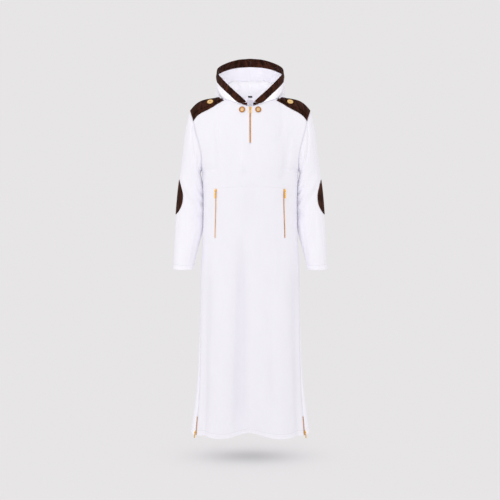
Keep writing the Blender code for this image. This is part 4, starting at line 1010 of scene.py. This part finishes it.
def band(side, panel):
    """Half of the hood's band: cloth folded over the free edge, plain where the halves meet."""
    rows = slice(len(panel.up) - BAND_ROWS - 1, None)
    places, out, uv = panel.P[rows], panel.N[rows], panel.uv[rows]
    beyond = unit(places[-1] - places[-2])
    places = places.copy()
    gap = np.zeros(places.shape[1])
    gap[-1 if side > 0 else 0] = BAND_GAP
    places[..., 0] += side * gap
    near = HALF + LIFT
    turns = np.radians(np.linspace(90, -90, 7))
    chain = [(place, normal) for place, normal in zip(places[:-1], out[:-1])]
    chain += [(places[-1], unit(out[-1] * math.sin(t) + beyond * math.cos(t))) for t in turns]
    chain += [(place, -normal) for place, normal in zip(places[-2::-1], out[-2::-1])]
    base = np.array([place + normal * near for place, normal in chain])
    away = np.array([normal for _, normal in chain])
    height = arc(base, 0)
    flat = np.stack([np.broadcast_to(uv[-1][:, 0], height.shape), height], -1)
    count, columns = base.shape[:2]
    number = np.arange(count * columns).reshape(count, columns)
    _, faces, uvs = grid_faces(number, flat)
    name = f"hood_band_{'left' if side > 0 else 'right'}_cloth"
    made = two_sided(name, base.reshape(-1, 3), away.reshape(-1, 3), faces, uvs, "brown", 0, TRIM)
    runs = []
    for order, from_end in ((1, height), (-1, height[-1] - height)):
        from_end = from_end[::order]
        line, normals = (
            np.array([sample(EDGE_IN, from_end[:, j], values[::order, j]) for j in range(columns)])
            for values in (base + away * TRIM, away)
        )
        runs.append((line, unit(normals)))
    return made, runs


def thread(name, runs, look, pitch=3.4 * MM, length=2.5 * MM, radius=0.33 * MM):
    """Stitches along some lines. Each run is (places, directions), and a stitch is a thin bead
    lying on the cloth, sunk by a third of its thickness."""
    points, faces = [], []
    for places, out in runs:
        run = along(places)
        for middle in np.arange(pitch / 2, run[-1] - pitch / 2, pitch):
            ends = [sample(middle + s * length / 2, run, places) for s in (-1, 1)]
            up = unit(sample(middle, run, out))
            across = np.cross(unit(ends[1] - ends[0]), up)
            start = len(points)
            points.append(ends[0] - up * radius)
            for share in (0.18, 0.82):
                centre = ends[0] + (ends[1] - ends[0]) * share + up * radius * 0.35
                points += [centre + (across * x + up * y) * radius * 0.8 for x, y in circle(6)]
            points.append(ends[1] - up * radius)
            for n in range(6):
                m = (n + 1) % 6
                faces += [(start, start + 1 + m, start + 1 + n),
                          (start + 1 + n, start + 1 + m, start + 7 + m, start + 7 + n),
                          (start + 13, start + 7 + n, start + 7 + m)]
    return add_object(name, points, faces, look)


def on_lines(panel, lines, lift, count=160):
    """Runs for thread: lines of (across, up) corners on a panel, raised by lift."""
    found = [panel.along(line, count) for line in lines]
    return [(places + out * lift, out) for places, out in found]


def inside_edge(panel, outline, lift, rise=None, count=40):
    """A run for thread EDGE_IN inside an outline, which goes anticlockwise seen from outside. It
    is split where the outline turns sharply."""
    places, out = panel.along(outline, count * (len(outline) - 1) + 1)
    if rise:
        places = places + out * rise(places)[:, None]
    corners, runs = [0], []
    for n in range(count, len(places) - 1, count):
        before, after = unit(places[n] - places[n - 1]), unit(places[n + 1] - places[n])
        if before @ after < CORNER:
            corners.append(n)
    for a, b in zip(corners, corners[1:] + [len(places) - 1]):
        line, up_there = places[a : b + 1], out[a : b + 1]
        run = along(line)
        kept = (run > EDGE_IN) & (run < run[-1] - EDGE_IN)
        inward = unit(np.cross(up_there, np.gradient(line, axis=0)))
        runs.append(((line + inward * EDGE_IN + up_there * lift)[kept], up_there[kept]))
    return runs


# ---------------------------------------------------------------- looks


def add_node(tree, kind, inputs, **settings):
    """A node with its settings, and with inputs, by name or number, linked or set."""
    node = tree.nodes.new("ShaderNode" + kind)
    for name, value in settings.items():
        setattr(node, name, value)
    for name, source in inputs.items():
        if isinstance(source, bpy.types.NodeSocket):
            tree.links.new(source, node.inputs[name])
        else:
            node.inputs[name].default_value = source
    return node


def maths(tree, operation, *inputs):
    return add_node(tree, "Math", dict(enumerate(inputs)), operation=operation).outputs[0]


def vectors(tree, operation, *inputs):
    return add_node(tree, "VectorMath", dict(enumerate(inputs)), operation=operation).outputs


def noise(tree, place, scale, detail, **more):
    inputs = {"Vector": place, "Scale": scale, "Detail": detail, **more}
    return add_node(tree, "TexNoise", inputs).outputs["Fac"]


def shader(name, inputs):
    """A material with a Principled shader and its inputs, its node tree and the shader."""
    made = bpy.data.materials.new(name)
    made.use_nodes = True
    bsdf = made.node_tree.nodes["Principled BSDF"]
    for socket, value in inputs.items():
        bsdf.inputs[socket].default_value = value
    return made, made.node_tree, bsdf


def flat_places(tree):
    return add_node(tree, "UVMap", {}, uv_map="flat").outputs["UV"]


def stretched(tree, coordinates, across, up):
    """The flat places with so many units a metre across and up."""
    inputs = {"Vector": coordinates, "Scale": (across, up, 1)}
    return add_node(tree, "Mapping", inputs).outputs["Vector"]


def ramp(tree, factor, stops):
    node = add_node(tree, "ValToRGB", {"Fac": factor})
    while len(node.color_ramp.elements) < len(stops):
        node.color_ramp.elements.new(0.5)
    for element, (place, colour) in zip(node.color_ramp.elements, stops):
        element.position = place
        element.color = (*colour, 1)
    return node.outputs["Color"]


def finish_look(tree, bsdf, colour, factor, roughness, heights):
    """Links a look's colour, its roughness between two values, and bumps in turn, each height
    being (output, strength, distance in metres)."""
    tree.links.new(colour, bsdf.inputs["Base Color"])
    low, high = roughness
    rough = add_node(tree, "MapRange", {"Value": factor, "To Min": low, "To Max": high})
    tree.links.new(rough.outputs["Result"], bsdf.inputs["Roughness"])
    normal = {}
    for output, strength, distance in heights:
        inputs = {"Height": output, "Strength": strength, "Distance": distance, **normal}
        normal = {"Normal": add_node(tree, "Bump", inputs).outputs["Normal"]}
    tree.links.new(normal["Normal"], bsdf.inputs["Normal"])


def weave(tree, flat, twill, threads):
    """Height of a twill weave: slanting ribs over fine upright threads, uneven along them."""

    def wave(direction, size, distortion, detail):
        scale = 2 * math.pi / (10 * size)
        inputs = {"Vector": flat, "Scale": scale, "Distortion": distortion, "Detail": detail}
        return add_node(tree, "TexWave", inputs, bands_direction=direction).outputs["Fac"]

    ribs, fine = wave("DIAGONAL", twill, 1.2, 1.0), wave("X", threads, 0.6, 0.0)
    return maths(tree, "MULTIPLY_ADD", ribs, fine, 0.25)


def cloth(name, tones, roughness, twill, patches, sheen, shine, shaded):
    """Woven cloth. tones: stops of a ramp over uneven patches, patches: their size in units a
    metre across and up, shine: how strongly it mirrors, shaded: whether painted shade darkens it
    in folds and beside seams."""
    made, tree, bsdf = shader(
        name, {"Specular IOR Level": shine, "Sheen Weight": sheen, "Sheen Roughness": 0.5}
    )
    flat = flat_places(tree)
    spots = noise(tree, stretched(tree, flat, *patches), 1.0, 4.0, Roughness=0.6, Distortion=0.4)
    slubs = noise(tree, stretched(tree, flat, *SLUBS), 1.0, 3.0)
    mixed = maths(tree, "MULTIPLY_ADD", slubs, SLUB_TONE, spots)
    colour = ramp(tree, maths(tree, "SUBTRACT", mixed, SLUB_TONE / 2), tones)
    if shaded:
        # painted shade: the colour darkened, and tinted lavender, by the shade kept on the cloth's
        # points
        painted_shade = add_node(tree, "Attribute", {}, attribute_name="painted_shade").outputs["Fac"]
        tint = vectors(tree, "MULTIPLY_ADD", painted_shade, PAINTED_SHADE_TINT, (1, 1, 1))[0]
        colour = vectors(tree, "MULTIPLY", colour, tint)[0]
    heights = [(weave(tree, flat, twill, twill * 0.6), 0.35, 0.10 * MM), (slubs, 0.25, 0.08 * MM)]
    finish_look(tree, bsdf, colour, slubs, (roughness - 0.08, roughness + 0.08), heights)
    return made


def metal(name, colour, roughness, metallic=1.0):
    """Plated metal with fine rubbed marks and slightly darker, rougher spots."""
    made, tree, bsdf = shader(name, {"Metallic": metallic})
    place = add_node(tree, "TexCoord", {}).outputs["Object"]
    marks, worn = noise(tree, place, 900.0, 4.0), noise(tree, place, 160.0, 2.0)
    dark = tuple(c * 0.72 for c in colour)
    colour = ramp(tree, worn, [(0.30, dark), (0.58, colour)])
    heights = [(marks, 0.15, 0.03 * MM)]
    finish_look(tree, bsdf, colour, marks, (roughness - 0.06, roughness + 0.12), heights)
    return made


def ringed_button(name, centre, rim, edge):
    """A plated button whose raised rim is darker than its middle."""
    made = metal(name, rim, 0.32, 0.6)
    tree = made.node_tree
    far = vectors(tree, "LENGTH", flat_places(tree))["Value"]
    share = maths(tree, "DIVIDE", far, BUTTON_RADIUS)
    colour = ramp(tree, share, [(edge - 0.06, centre), (edge, rim)])
    tree.links.new(colour, tree.nodes["Principled BSDF"].inputs["Base Color"])
    return made


SLUBS = (900, 70)  # units a metre of the uneven threads, across and up
SLUB_TONE = 0.18  # how much they change the tone
PAINTED_SHADE_TINT = (-1.0, -1.03, -0.82)  # how much of each colour full painted shade takes away
WHITE_TONES = (  # material, darker tone, paler tone
    ("white_twill", (0.872, 0.862, 0.918), (0.898, 0.888, 0.943)),
    ("white_twill_hem", (0.892, 0.882, 0.938), (0.918, 0.908, 0.962)),
    # painted shade along the sunk row of stitches
    ("white_twill_painted_stitch_shade", (0.830, 0.820, 0.876), (0.855, 0.845, 0.900)),
)
BROWN_TONES = [
    (0.30, (0.010, 0.003, 0.0015)), (0.46, (0.026, 0.0085, 0.0050)),
    (0.58, (0.056, 0.0180, 0.0095)), (0.80, (0.105, 0.0350, 0.0200)),
]
WOVEN = (  # look, its material if it has another name, two tones, and the rest of cloth()'s values
    # white thread, painted greyer and more lavender than the cloth: painted shade along the sunk
    # rows of stitches
    ("white_thread_painted_shade", "", (0.72, 0.71, 0.77), (0.80, 0.79, 0.85), 0.6, 0.3, (300, 90), 0, 0.3),
    ("brown_thread", "", (0.085, 0.032, 0.018), (0.15, 0.055, 0.03), 0.6, 0.3, (300, 90), 0, 0.1),
    # the hanger strip: white tape whose grey-lavender tone is painted shade, as it lies in shade
    # inside the back neck
    ("strip", "white_tape_painted_shade", (0.66, 0.65, 0.72), (0.74, 0.73, 0.80), 0.6, 1.2, (60, 30), 0.1, 0.3),
    ("label", "dark_label", (0.018, 0.017, 0.020), (0.035, 0.033, 0.038),
     0.6, 0.5, (60, 30), 0, 0.3),
    ("tape", "zip_tape", (0.72, 0.42, 0.18), (0.80, 0.49, 0.23), 0.8, 0.8, (80, 40), 0, 0.3),
)
LOOKS = {
    "brown": cloth("brown_mottled", BROWN_TONES, 0.78, 0.7 * MM, (70, 22), 0.0, 0.08, False),
    "teeth": metal("rose_gold_teeth", (0.95, 0.62, 0.31), 0.45),
    "gold": metal("gold_plate", (0.96, 0.56, 0.12), 0.30),
    # the walls of the buttons' sewing holes, painted dark as shade in the holes
    "hole": metal("button_hole", (0.10, 0.045, 0.015), 0.6),
    "button": ringed_button("pale_gold_button", (0.86, 0.60, 0.27), (0.80, 0.50, 0.18), 0.80),
    "neck_button": ringed_button("ringed_gold_button", (0.78, 0.54, 0.28), (0.46, 0.2, 0.05), 0.58),
}
# The white cloth, its paler copy for the turned hem's double cloth, and its darker copy, which is
# painted shade along the sunk row of stitches; all three take the painted shade of folds and seams.
for look, (name, dark, pale) in zip(("white", "white_hem", "white_painted_stitch_shade"), WHITE_TONES):
    tones = [(0.25, dark), (0.75, pale)]
    LOOKS[look] = cloth(name, tones, 0.84, 0.9 * MM, (14, 6), 0.10, 0.3, True)
for look, name, dark, pale, roughness, twill, patches, sheen, shine in WOVEN:
    tones = [(0.3, dark), (0.7, pale)]
    LOOKS[look] = cloth(name or look, tones, roughness, twill * MM, patches, sheen, shine, False)


# ---------------------------------------------------------------- zips and buttons

ZIP_STEP = 3 * MM  # between the places on a zip's path
TAPE_BACK = -HALF - 1.9 * MM  # the tape's inner and outer face, from the middle of the cloth
TAPE_FRONT = -HALF - 1.0 * MM
TAPE_SOFT = 0.25 * MM  # off its corners
TOOTH_BACK = -HALF - 0.9 * MM
TOOTH_FRONT = HALF + 0.5 * MM
TOOTH_PITCH = 1.3 * MM  # between teeth, left and right by turns
TOOTH_WIDE = 3.5 * MM
TOOTH_LONG = 1.0 * MM
STOP_LONG = 1.4 * MM  # the bars at a zip's ends


def zip_path(panel, columns, low, high):
    """Places, outward and across directions up a zip, at even steps, and its length."""
    rows = panel.rows_between(low, high)
    middle, out = (grid[np.ix_(rows, columns)].mean(axis=1) for grid in (panel.P, panel.N))
    run = along(middle)
    even = np.linspace(ZIP_END, run[-1] - ZIP_END, max(4, round(run[-1] / ZIP_STEP)))
    middle, out = sample(even, run, middle), sample(even, run, out)
    forward = unit(np.gradient(middle, axis=0))
    across = unit(np.cross(forward, out))
    return middle, unit(np.cross(across, forward)), across, run[-1] - 2 * ZIP_END


def mirrored(corners):
    return [(-a, b) for a, b in reversed(corners)]


def strip(name, path, profile, look):
    """A closed strip along a path; its section is given by (across, out) corners."""
    middle, out, across, _ = path
    run = along(middle)
    count = len(profile)
    places = zip(middle, out, across)
    points = [p + a * side + o * lift for p, o, a in places for side, lift in profile]
    faces, uvs = [], []
    for i in range(len(middle) - 1):
        for n in range(count):
            m = (n + 1) % count
            start = i * count
            faces.append((start + n, start + m, start + m + count, start + n + count))
            uvs += [(profile[n][0], run[i]), (profile[m][0], run[i])]
            uvs += [(profile[m][0], run[i + 1]), (profile[n][0], run[i + 1])]
    for start, order in ((0, range(count - 1, -1, -1)), (len(points) - count, range(count))):
        faces.append(tuple(start + n for n in order))
        uvs += [profile[n] for n in order]
    return add_object(name, points, faces, look, uvs, smooth_angle=35)


def teeth(name, path):
    """Interlocked metal teeth, on the left and right by turns, with a bar at each end."""
    middle, out, across, length = path
    run = along(middle)
    shoulder, edge = TOOTH_FRONT - 0.45 * MM, TOOTH_FRONT - 0.12 * MM
    levels = ((TOOTH_BACK, 1.0), (shoulder, 1.0), (edge, 0.9), (TOOTH_FRONT, 0.7))
    spots = np.arange(STOP_LONG + 0.6 * MM, length - STOP_LONG - 0.3 * MM, TOOTH_PITCH)
    tooth = TOOTH_WIDE / 2, TOOTH_LONG / 2
    places = [(at, 1 if n % 2 else -1, *tooth) for n, at in enumerate(spots)]
    stop = STOP_LONG / 2
    places += [(at, 0, CHAIN_HALF, stop) for at in (stop, length - stop)]
    points, faces = [], []
    for at, side, wide, long in places:
        p, o, a = (sample(at, run, values) for values in (middle, out, across))
        forward = np.cross(o, a)
        centre = p + a * side * (CHAIN_HALF - TOOTH_WIDE / 2)
        start = len(points)
        for lift, share in levels:
            for s, t in ((-1, 1), (1, 1), (1, -1), (-1, -1)):
                step = a * s * wide * (0.4 + 0.6 * share) + forward * t * long * share
                points.append(centre + step + o * lift)
        faces.append(tuple(start + n for n in (3, 2, 1, 0)))
        faces.append(tuple(start + n for n in (12, 13, 14, 15)))
        for low in range(start, start + 12, 4):
            pairs = [(low + n, low + (n + 1) % 4) for n in range(4)]
            faces += [(a, b, b + 4, a + 4) for a, b in pairs]
    return add_object(name, points, faces, "teeth", smooth_angle=25)


def add_zip(name, path):
    """Tape and teeth that stand for a zip's plain chain."""
    half = [(TAPE_HALF - TAPE_SOFT, TAPE_BACK), (TAPE_HALF, TAPE_BACK + TAPE_SOFT)]
    half += [(TAPE_HALF, TAPE_FRONT - TAPE_SOFT), (TAPE_HALF - TAPE_SOFT, TAPE_FRONT)]
    profile = half + mirrored(half)
    tape = strip(f"{name}_zip_tape", path, profile, "tape")
    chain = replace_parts(teeth(f"{name}_zip_teeth", path), f"{name}_zip")


def add_button(node, profile, look, holes=()):
    """A turned piece in the place of a button's node, from (radius, height) steps. holes: the
    (x, y) places of its sewing holes."""
    corners = np.array([v.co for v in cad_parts[node].data.vertices])
    middle = corners.mean(axis=0)
    axis = np.linalg.svd(corners - middle)[2][2]
    axis = axis * (1 if axis[1] < 0 else -1)
    base = middle + axis * ((corners - middle) @ axis).min()
    across = unit(np.cross((0.0, 0.0, -1.0), axis))
    sides = 72
    points = [(0, 0, profile[0][1])]
    points += [(r * x, r * y, h) for r, h in profile for x, y in circle(sides)]
    points.append((0, 0, profile[-1][1]))
    last = len(points) - 1
    faces = []
    for n in range(sides):
        m = (n + 1) % sides
        faces += [(0, 1 + m, 1 + n), (last, last - sides + n, last - sides + m)]
        for low in range(1, last - sides, sides):
            faces.append((low + n, low + m, low + m + sides, low + n + sides))
    uvs = [points[v][:2] for face in faces for v in face]
    made = add_object(f"{node}_turned", points, faces, look, uvs, smooth_angle=38)
    for x, y in holes:
        bpy.ops.mesh.primitive_cylinder_add(
            vertices=20, radius=HOLE_RADIUS, depth=HOLE_DEPTH * 2, location=(x, y, profile[-1][1])
        )
        tool = bpy.context.object
        # the holes' walls take the dark metal that is painted shade
        tool.data.materials.append(LOOKS["hole"])
        cut = made.modifiers.new("hole", "BOOLEAN")
        cut.operation, cut.solver, cut.object = "DIFFERENCE", "EXACT", tool
        cut.material_mode = "TRANSFER"
        bpy.context.view_layer.update()
        whole = made.evaluated_get(bpy.context.evaluated_depsgraph_get())
        mesh = bpy.data.meshes.new_from_object(whole)
        made.modifiers.clear()
        made.data = mesh
        bpy.data.objects.remove(tool, do_unlink=True)
    place = np.column_stack([across, np.cross(axis, across), axis])
    made.data.transform(Matrix.Translation(Vector(base)) @ Matrix(place.tolist()).to_4x4())
    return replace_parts(made, node)


HOLE_RADIUS = 1.5 * MM
HOLE_DEPTH = 1.3 * MM
HOLE_APART = 2.8 * MM  # from the button's middle
FLAT_BUTTON = [(s * BUTTON_RADIUS, h * MM) for s, h in (
    (0.40, 0.0), (0.86, 0.1), (0.97, 0.6), (1.0, 1.3), (0.99, 2.2), (0.95, 2.75), (0.89, 3.0),
    (0.82, 2.95), (0.76, 2.6), (0.70, 2.3), (0.50, 2.2), (0.25, 2.2),
)]
RINGED_BUTTON = [(s * BUTTON_RADIUS, h * MM) for s, h in (
    (0.40, 0.0), (0.86, 0.1), (0.97, 0.6), (1.0, 1.3), (0.99, 2.2), (0.94, 2.8), (0.86, 3.0),
    (0.76, 2.95), (0.68, 2.6), (0.63, 2.1), (0.58, 1.8), (0.50, 1.85), (0.40, 2.05), (0.22, 2.2),
)]


# ---------------------------------------------------------------- the robe

front, back = body_panel(-1), body_panel(1)
sleeves = {"left": sleeve_panel(1), "right": sleeve_panel(-1)}
hoods = {"left": hood_panel(1), "right": hood_panel(-1)}
share_edges([front, back, *sleeves.values(), *hoods.values()])
pieces, stitches = {}, {}  # by the node they stand for or lie on


def put(node, piece):
    pieces[node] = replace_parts(piece, node)


def sew(node, runs, look):
    stitches[node] = thread(f"{node}_stitches", runs, look)


def nearest(values, wanted):
    return [int(np.argmin(np.abs(values - value))) for value in wanted]


def on_hoods(region):
    return [(hoods["left"], region), (hoods["right"], mirrored(region))]


# The white cloth, with slits for the neck and pocket zips and, at its sides, the hem's.
zip_low, zip_high = POCKET_BOTTOM_Z - ARMPIT_Z, POCKET_TOP_Z - ARMPIT_Z
zip_sides = (NECK_U, PANEL_U[PANEL_U.index(NECK_U) + 1])
zips = {
    "neck": (nearest(front.across, SLIT_U), RISES[NECK_ZIP_ROW] - NECK_ZIP_MORE, 1.0),
    "pocket_left": (nearest(front.across, zip_sides), zip_low, zip_high),
    "pocket_right": (nearest(front.across, [-u for u in zip_sides]), zip_low, zip_high),
}
slits = [(*nearest(front.up, (low, high)), min(columns)) for columns, low, high in zips.values()]
hem_zip = np.where(front.up <= HEM_ZIP_TOP_Z - ARMPIT_Z + TINY, SLIT_HALF, GAP / 2)
half_gap = {"left": hem_zip, "right": hem_zip, "top": GAP / 2}
for node, panel, holes in (("front_body", front, slits), ("back_body", back, ())):
    seams = ("left", "right", "top")
    put(node, shell(f"{node}_cloth", panel, half_gap, seams, holes, panel.up - panel.up[0]))
for side, panel in sleeves.items():
    node, hem = f"sleeve_{side}", (panel.up[-1] - panel.up) * CUFF_RING
    put(node, shell(f"{node}_cloth", panel, {"bottom": GAP}, ("bottom",), (), hem))
for side, panel in hoods.items():
    seams = ("bottom", "right" if side == "left" else "left")
    inset = dict.fromkeys((*seams, "top"), GAP / 2)
    put(f"hood_{side}", shell(f"hood_{side}_cloth", panel, inset, seams, unshaded=seams))

# What is sewn on outside.
for side, panel in hoods.items():
    made, runs = band(1 if side == "left" else -1, panel)
    put(f"hood_band_{side}", made)
    sew(f"hood_band_{side}", runs, "brown_thread")
near = HALF + LIFT
oval = [
    tuple(middle + half * share for middle, half, share in zip(ELBOW_CENTRE, ELBOW_HALF, turn))
    for turn in circle(48)
]
patch_edge = SHOULDER_PATCH[-1:] + SHOULDER_PATCH[:-2]
strap_edge = EPAULETTE[3:] + EPAULETTE[:3]
for side, flip in (("left", list), ("right", mirrored)):
    both = ((front, flip), (back, lambda region: mirrored(flip(region))))
    strap, elbow = ((front, flip),), ((sleeves[side], flip),)
    for name, places, region, edge, low, rise in (
        ("shoulder_patch", both, SHOULDER_PATCH, patch_edge, near, None),
        ("epaulette", strap, EPAULETTE, strap_edge, near + TRIM + LIFT, flap_rise),
        ("elbow_patch", elbow, oval, oval + oval[:1], near, None),
    ):
        node, high = f"{name}_{side}", low + TRIM
        parts = [(panel, turned(region)) for panel, turned in places]
        put(node, overlay(f"{node}_cloth", parts, "brown", low, high, rise))
        edges = [inside_edge(panel, turned(edge), high, rise) for panel, turned in places]
        sew(node, sum(edges, []), "brown_thread")

# And what is inside.
tape_angle = 180 - 90 * NECK_TAPE[1][0] / NECK_U
tape_top = [(tape_angle, -1), (181, -1), (181, TAPE_OVER), (tape_angle, TAPE_OVER)]
for node, parts, look, low, wall in (
    ("pocket", [(front, POCKET)], "white", HALF + INSIDE_ZIPS, CLOTH),
    ("neck_tape", on_hoods(tape_top) + [(back, NECK_TAPE)], "brown", near, TRIM),
    ("neck_label", on_hoods(LABEL_PLACE), "label", near, TRIM),
    ("hanger_strip", on_hoods(STRIP_TOP) + [(back, STRIP_LOW)], "strip", near + TRIM + LIFT, TRIM),
):
    put(node, overlay(f"{node}_cloth", parts, look, -low - wall, -low))

for name, (columns, low, high) in zips.items():
    add_zip(name, zip_path(front, columns, low, high))
for name, column in (("hem_left", len(front.across) - 1), ("hem_right", 0)):
    add_zip(name, zip_path(front, [column], front.up[0], HEM_ZIP_TOP_Z - ARMPIT_Z))
for side in ("left", "right"):
    holes = ((-HOLE_APART, 0), (HOLE_APART, 0))
    add_button(f"epaulette_button_{side}", FLAT_BUTTON, "button", holes)
    add_button(f"neck_button_{side}", RINGED_BUTTON, "neck_button")
for name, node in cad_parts.items():
    if name.endswith(("_slider", "_pull")):
        node.data.materials.clear()
        node.data.materials.append(LOOKS["gold"])
        bevel = node.modifiers.new("rounded", "BEVEL")
        bevel.width, bevel.segments, bevel.limit_method = 0.25 * MM, 2, "ANGLE"

# Stitches on the white cloth.
STITCH_ENDS = 0.985  # how far out the rows go, as a share of the panel's half or the pocket's
for node, panel, end in (("front_body", front, STITCH_ENDS), ("back_body", back, -STITCH_ENDS)):
    rows = [[(-end, panel.up[0] + up), (end, panel.up[0] + up)] for up in HEM_STITCHES]
    runs = on_lines(panel, rows, HALF)
    if panel is front:
        seam = [(u * STITCH_ENDS, up - POCKET_SEAM_IN) for u, up in POCKET_SEAM]
        runs += on_lines(front, [seam], HALF)
        runs += [run for place in zips.values() for run in slit_runs(front, *place)]
    sew(node, runs, "white_thread_painted_shade")
for side, panel in sleeves.items():
    down = panel.up[-1] - HEM_STITCHES[-1] / CUFF_RING
    sew(f"sleeve_{side}", on_lines(panel, [[(-180, down), (180, down)]], HALF), "white_thread_painted_shade")

# What each cloth piece was cut from: width, length and flat area, how it is held and on what.
body, hood = ["front_body", "back_body"], ["hood_left", "hood_right"]
SHEETS = [
    ("front_body", 0.65, 1.42, 0.685, "hung", body[1:]),
    ("back_body", 0.76, 1.43, 0.765, "hung", body[:1]),
    ("pocket", 0.320, 0.245, 0.0760, "hung", body[:1]),
    ("neck_tape", 0.170, 0.033, None, "stretched", body[1:]),
    ("neck_label", 0.017, 0.0105, None, "stretched", hood),
    ("hanger_strip", 0.026, 0.037, 0.00096, "stretched", body[1:]),
]
for side in ("left", "right"):
    SHEETS += [
        (f"sleeve_{side}", 0.64, 0.66, 0.203, "hung", body),
        (f"hood_{side}", 0.48, 0.53, 0.098, "draped", body),
        (f"hood_band_{side}", 0.46, 0.074, 0.0286, "stretched", [f"hood_{side}"]),
        (f"shoulder_patch_{side}", 0.15, 0.19, 0.0194, "laid", body),
        (f"epaulette_{side}", 0.155, 0.062, 0.0072, "laid", [f"shoulder_patch_{side}"]),
        (f"elbow_patch_{side}", 0.12, 0.149, 0.0140, "laid", [f"sleeve_{side}"]),
    ]


# ---------------------------------------------------------------- camera, light and floor

SENSOR = 36.0
AWAY = 3.5  # the camera, in front of the garment's middle
CAMERA_Z = -0.332
TILT = math.radians(2.35)  # downwards
METRES_A_PIXEL = 0.00415 / 1.0035  # at the garment's middle
PICTURE = 500  # pixels each way
AXIS = (250.2, 216.0)  # where the camera points in it
camera = bpy.data.objects.new("camera", bpy.data.cameras.new("camera"))
camera.data.sensor_width = SENSOR
camera.data.lens = SENSOR * AWAY / (PICTURE * METRES_A_PIXEL)
camera.data.shift_x = (PICTURE / 2 - AXIS[0]) / PICTURE
camera.data.shift_y = (AXIS[1] - PICTURE / 2) / PICTURE
camera.location = (0, -AWAY, CAMERA_Z)
camera.rotation_euler = (math.pi / 2 - TILT, 0, 0)
bpy.context.scene.collection.objects.link(camera)
bpy.context.scene.camera = camera
bpy.context.scene.view_settings.view_transform = "Standard"

FLOOR_Z = -1.482
FLOOR_SHADE = 0.30  # how much of the floor's brightness is light that falls on it
PAINTED_SHADOW_SIZE = (0.125, 0.058)  # the darkest part of the painted shadow under the robe
# how much the painted shadow darkens the floor at its middle
PAINTED_SHADOW_DEPTH = 0.30
LAMPS = (  # name, watts, place, size, aim, whether it casts shadows, what it lights
    ("key", 12, (-1.9, -3.0, 0.9), 2.2, (0, 0, -0.5), True, ""),
    ("front", 29, (0.2, -4.6, 0.2), 3.0, (0, 0, -0.6), False, ""),
    ("overhead", 3, (0.0, -0.6, 2.2), 1.4, (0, 0.05, 0), True, ""),
    ("left", 7, (3.0, -0.6, 0.1), 2.0, (0, 0, -0.5), False, ""),
    ("right", 7, (-3.0, -0.6, 0.1), 2.0, (0, 0, -0.5), False, ""),
    ("sleeves", 7, (0.0, -4.4, -0.3), 2.5, (0, 0, -0.3), False, "sleeve"),
    ("behind", 12, (0.4, 3.4, 0.6), 2.2, (0, 0, -0.5), True, ""),
    ("hood", 9, (0.0, -1.5, -0.6), 0.8, (0, 0.05, 0.06), False, "inside"),
)
LIT = {
    "sleeve": ("sleeve_left", "sleeve_right"),
    "inside": ("hood_left", "hood_right", "hanger_strip", "neck_label", "back_body"),
}
PALE = (0.799, 0.784, 0.791)
world = bpy.data.worlds.new("studio")
bpy.context.scene.world = world
world.use_nodes = True
world.node_tree.nodes["Background"].inputs["Color"].default_value = (*PALE, 1)
mesh = bpy.data.meshes.new("floor")
corners = [(x, y, FLOOR_Z) for x, y in ((-30, -20), (30, -20), (30, 300), (-30, 300))]
mesh.from_pydata(corners, [], [(0, 1, 2, 3)])
floor = bpy.data.objects.new("floor", mesh)
bpy.context.scene.collection.objects.link(floor)
matt = {"Roughness": 1.0, "Specular IOR Level": 0.0, "Emission Strength": 1.0 - FLOOR_SHADE}
made, tree, bsdf = shader("studio_floor", matt)
# A painted shadow under the robe: the floor's colour and glow darken towards the middle.
place = add_node(tree, "TexCoord", {}).outputs["Object"]
away = vectors(tree, "MULTIPLY", place, (1 / PAINTED_SHADOW_SIZE[0], 1 / PAINTED_SHADOW_SIZE[1], 0))[0]
square = vectors(tree, "DOT_PRODUCT", away, away)["Value"]
fade = maths(tree, "POWER", math.exp(-0.5), square)
darker = maths(tree, "MULTIPLY_ADD", fade, -PAINTED_SHADOW_DEPTH, 1.0)
for socket, colour in (("Base Color", (FLOOR_SHADE,) * 3), ("Emission Color", PALE)):
    tinted = add_node(tree, "VectorMath", {0: colour, "Scale": darker}, operation="SCALE")
    tree.links.new(tinted.outputs[0], bsdf.inputs[socket])
mesh.materials.append(made)
floor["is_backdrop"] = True

for name, energy, place, size, aim, shadows, only in LAMPS:
    lamp = bpy.data.lights.new(name, "AREA")
    lamp.energy, lamp.size, lamp.use_shadow = energy, size, shadows
    obj = bpy.data.objects.new(name, lamp)
    obj.location = place
    obj.rotation_euler = (Vector(aim) - Vector(place)).to_track_quat("-Z", "Y").to_euler()
    bpy.context.scene.collection.objects.link(obj)
    lit = bpy.data.collections.new(f"lit_by_{name}")
    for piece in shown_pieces():
        if not only or piece.name.removesuffix("_cloth") in LIT[only]:
            lit.objects.link(piece)
    obj.light_linking.receiver_collection = lit
